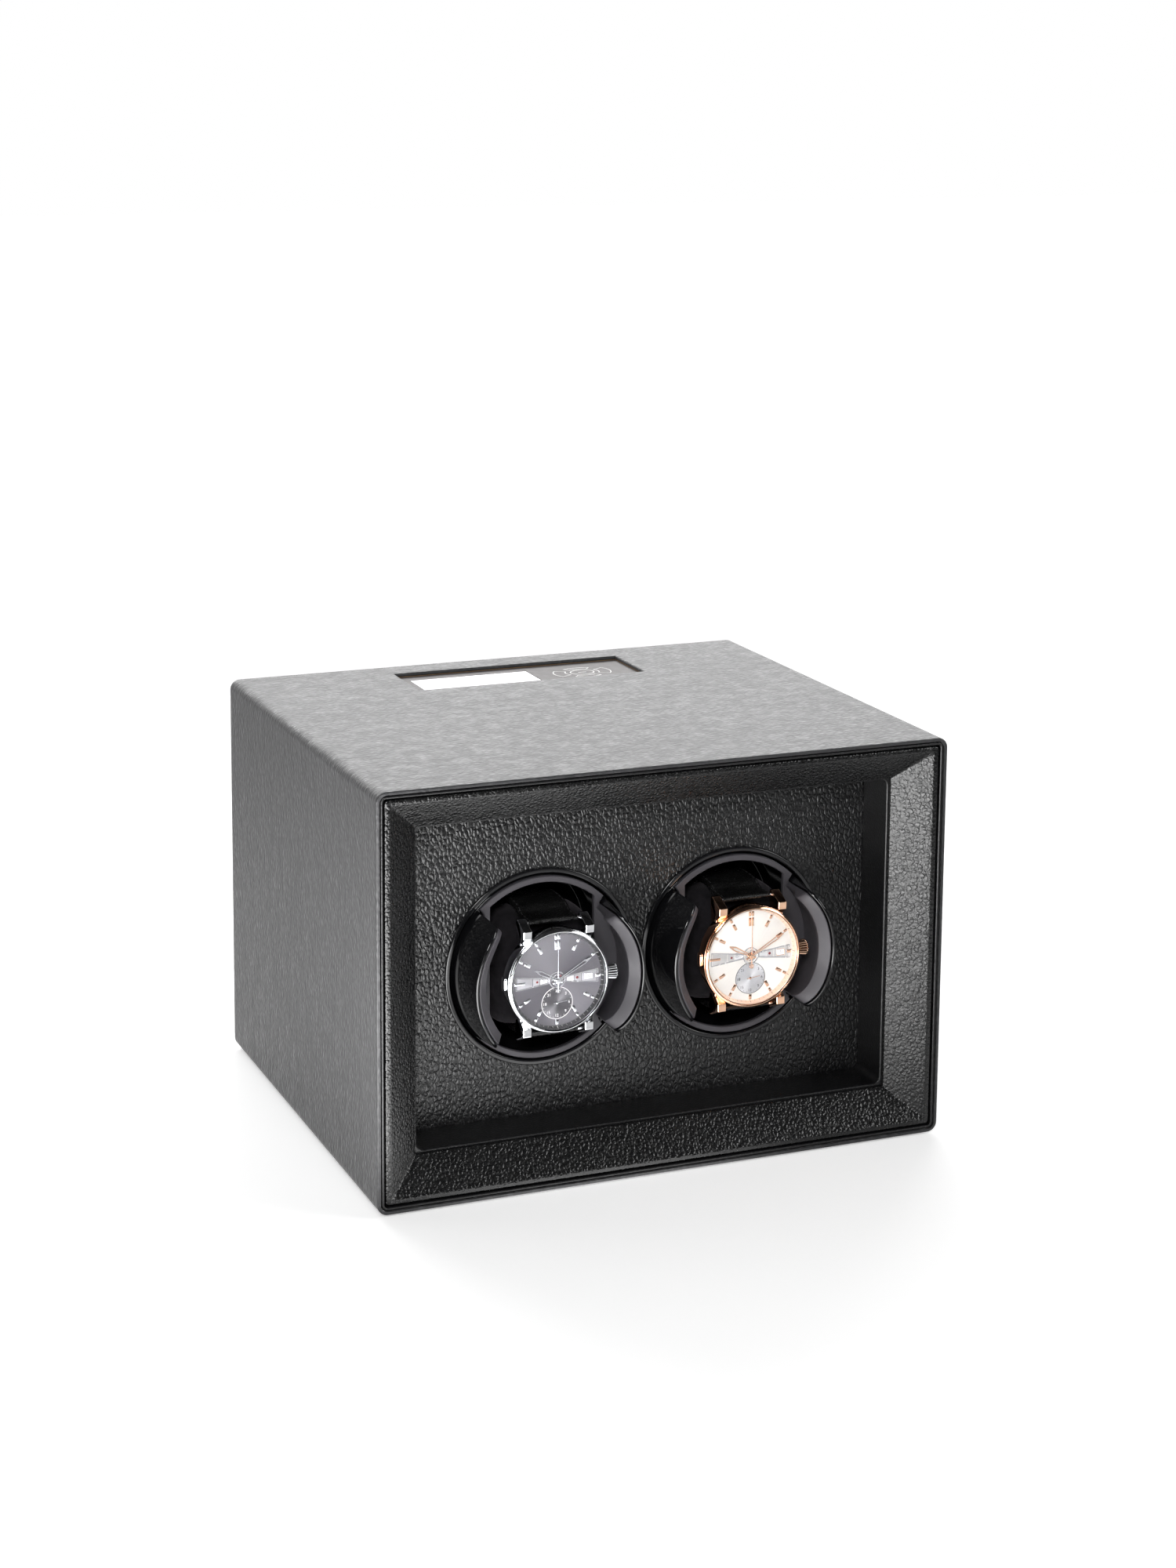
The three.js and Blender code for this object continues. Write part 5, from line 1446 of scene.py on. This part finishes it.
for name, side in sides.items():
    finishes[f"dial-{name}"] = dialFinish(f"dialFace-{name}", side * rotorX, rotorZ, dialLooks[name])
    finishes[f"smallDial-{name}"] = dialFinish(
        f"smallDialFace-{name}", side * rotorX, rotorZ - dialSizes["subDrop"], smallDialLooks[name])
    finishes[f"bridge-{name}"] = plainFinish(f"bridgePlate-{name}", {**bridgeLooks[name], **bridgeSurface})
    finishes[f"chapter-{name}"] = plainFinish(f"chapterRing-{name}", chapterLooks[name])
watchTrims = {
    "left": {"polish": "polishedSteel", "case": "watch_steel", "hands": "hand_steel", "dial": "dial_grey",
             "print": "printWhite"},
    "right": {"polish": "polishedGold", "case": "watch_gold", "hands": "hand_gold", "dial": "dial_white",
              "print": "darkPrint"},
}


def buildWatch(name):
    trim = watchTrims[name]
    body, polish, marks = f"holder_{name}", trim["polish"], trim["print"]

    def put(label, shape, material, part, replaced=(), rides=body, sharp=35):
        putAtSide(name, label, shape, material, rides, replaced, sharp)

    put("watchCase", watchCase(), polish, "case", ["watch_case"], sharp=30)
    put("springBars", springBars(), "steel", "case")
    put("watchCrown", crown(), polish, "case", ["watch_crown"], f"crown_{name}", 40)
    put("watchDial", dialPlate(), f"dial-{name}", "dial", ["watch_dial"])
    put("chapterRing", chapterRing(), f"chapter-{name}", "dial")
    put("minuteTicks", minuteTicks(), marks, "dial")
    put("hourMarkers", hourMarkers(), polish, "hands")
    put("dialBridge", bridge(), "steel", "hands")
    put("bridgeArms", bridgeFill(((4.3, 7.6, 0.06),)), "silverPlate", "hands")
    put("bridgePlates", bridgeFill(((7.9, 10.8, 0.03), (11.1, 17.9, 0.05))), f"bridge-{name}", "hands")
    put("dialWheels", together(wheel(2.6, 26, 0, 0, 0.08), wheel(1.1, 14, -6.5, 0.9, 0.08)), "steel", "hands")
    put("dialJewels", jewels(), "ruby", "dial")
    put("smallDial", subDialFace(), f"smallDial-{name}", "dial")
    put("smallDialRing", subDialRing(), marks, "dial")
    put("smallDialMarks", together(subDialDots(), subDialNumerals()), marks, "dial")
    put("smallDialHand", subDialHand(), polish, "hands")
    put("dateFrame", dateFrame(), polish, "hands")
    put("dateNumber", dateNumber(), "darkPrint", "dial")
    put("dateFace", dateFace(), "printWhite", "dial")
    put("watchCrystal", crystal(), "sapphire", "crystal", ["watch_crystal"])
    for kind in ("hour", "minute", "seconds"):
        shape = secondsHand() if kind == "seconds" else skeletonHand(kind)
        put(f"{kind}Hand", shape, polish, "hands", [f"{kind}_hand"], f"{kind}_hand_{name}")
    print("watch built:", name)


# Building it all

buildCase()
buildBack()
buildDisplay()
for name in sides:
    buildRotor(name)
    buildHolder(name)
    buildWatch(name)


# Camera, floor and light

cameraSizes = {"place": (-0.48284, -1.16789, 0.48353), "yaw": 0.3823, "pitch": 0.1673, "roll": 0.0058,
               "lens": 66.24, "shift": (0.025, -0.175)}


def stand(name, data, right, up, back, place):
    # A camera or a light looks the opposite way to back.
    turn = np.eye(4)
    turn[:3] = np.stack([right, up, back, place], 1)
    held = bpy.data.objects.new(name, data)
    held.matrix_world = Matrix(turn.tolist())
    bpy.context.scene.collection.objects.link(held)
    return held


def addCamera():
    size = cameraSizes
    yaw, pitch, roll = size["yaw"], size["pitch"], size["roll"]
    forward = np.array([math.sin(yaw) * math.cos(pitch), math.cos(yaw) * math.cos(pitch), -math.sin(pitch)])
    right = np.array([math.cos(yaw), -math.sin(yaw), 0])
    up = np.cross(right, forward)
    leaned = right * math.cos(roll) + up * math.sin(roll)
    upright = up * math.cos(roll) - right * math.sin(roll)
    data = bpy.data.cameras.new("camera")
    data.lens = size["lens"]
    data.shift_x, data.shift_y = size["shift"]
    data.clip_start, data.clip_end = 0.01, 50
    bpy.context.scene.camera = stand("camera", data, leaned, upright, -forward, size["place"])


floorSizes = {"half": 6.0, "colour": 0.8, "near": 0.3, "far": 0.9, "nearGlow": 0.42, "farGlow": 1.05,
              "mirrorGlow": 0.06,
              "cards": (((-0.44, -0.42, 0.0), 0.35, 0.44, 11.5), ((-0.03, -0.17, 0.0), 0.05, 0.12, 2.3))}


def addFloor():
    # Plain and matt round the object, where its shadow falls, and evenly lit further away.
    size = floorSizes
    half = size["half"]
    mesh = bpy.data.meshes.new("floor")
    mesh.from_pydata([(-half, -half, 0), (half, -half, 0), (half, half, 0), (-half, half, 0)], [],
                     [(0, 1, 2, 3)])
    made, tree, shader, where = newMaterial("paleFloor", {
        "Roughness": 0.9, "Specular IOR Level": 0.1, "Emission Color": (1, 1, 1, 1)})
    tone = useGroup(tree, "patches", {"Vector": where, "Scale": 2.0})["Value"]
    low, high = size["colour"], size["colour"] + 0.02
    away = addNode(tree, "ShaderNodeVectorMath", {"operation": "LENGTH"}, {0: where}).outputs["Value"]
    fade = smoothBetween(tree, away, size["near"], size["far"])
    plain = blendColour(tree, tone, (low, low, low), (high, high, high))
    tree.links.new(blendColour(tree, fade, plain, (0.0, 0.0, 0.0)), shader.inputs["Base Color"])
    glow = between(tree, fade, size["nearGlow"], size["farGlow"])
    # Reflections see bright cards on the floor at the front left, and a darker floor elsewhere.
    card = size["mirrorGlow"]
    for place, inner, outer, strength in size["cards"]:
        spot = addNode(tree, "ShaderNodeVectorMath", {"operation": "DISTANCE"},
                       {0: where, 1: place}).outputs["Value"]
        card = calculate(tree, "ADD", smoothBetween(tree, spot, inner, outer, strength, 0.0), card)
    path = tree.nodes.new("ShaderNodeLightPath")
    chosen = addNode(tree, "ShaderNodeMix", {"data_type": "FLOAT"},
                     {0: path.outputs["Is Glossy Ray"], 2: glow, 3: card}).outputs[0]
    tree.links.new(chosen, shader.inputs["Emission Strength"])
    mesh.materials.append(made)
    floor = bpy.data.objects.new("floor", mesh)
    bpy.context.scene.collection.objects.link(floor)


lightSizes = {
    "softBehind": {"place": (0.3, 1.7, 1.2), "size": (2.6, 1.1), "power": 47.0},
    "softLeftBehind": {"place": (-1.8, 1.0, 0.75), "size": (1.0, 1.4), "power": 3.6},
    "keyFront": {"place": (-0.75, -1.45, 1.0), "size": (0.4, 0.4), "power": 16.0},
    "keyLeft": {"place": (-1.5, -1.2, 0.35), "size": (0.7, 0.7), "power": 3.5},
    "softRight": {"place": (1.4, -1.0, 0.8), "size": (0.7, 0.8), "power": 13.0},
}


def addLights():
    aim = np.array([0, 0.05, 0.09])
    for name, look in lightSizes.items():
        data = bpy.data.lights.new(name, "AREA")
        data.shape = "RECTANGLE"
        data.size, data.size_y = look["size"]
        data.energy = look["power"]
        back = np.array(look["place"]) - aim
        back /= np.linalg.norm(back)
        right = np.cross((0, 0, 1), back)
        right /= np.linalg.norm(right)
        stand(name, data, right, np.cross(back, right), back, look["place"])


roomSizes = {"start": -0.1, "end": 0.5, "front": 0.03, "behind": 0.5}  # how bright it is by the y direction


def addWorld():
    # White to the camera; to everything else bright behind the object and dark in front of it.
    world = bpy.data.worlds.new("studio")
    world.use_nodes = True
    tree = world.node_tree
    tree.nodes.clear()
    size = roomSizes
    direction = tree.nodes.new("ShaderNodeTexCoord").outputs["Generated"]
    way = addNode(tree, "ShaderNodeSeparateXYZ", None, {0: direction})
    behind = smoothBetween(tree, way.outputs["Y"], size["start"], size["end"], size["front"], size["behind"])
    room = addNode(tree, "ShaderNodeBackground", None, {"Strength": behind, "Color": (1, 1, 1, 1)})
    seen = addNode(tree, "ShaderNodeBackground", None, {"Strength": 1.0, "Color": (1, 1, 1, 1)})
    path = tree.nodes.new("ShaderNodeLightPath")
    mix = addNode(tree, "ShaderNodeMixShader", None,
                  {0: path.outputs["Is Camera Ray"], 1: room.outputs[0], 2: seen.outputs[0]})
    tree.links.new(mix.outputs[0], tree.nodes.new("ShaderNodeOutputWorld").inputs[0])
    bpy.context.scene.world = world


addCamera()
addFloor()
addLights()
addWorld()
bpy.context.scene.view_settings.view_transform = "Standard"
print("camera, floor and lights placed")
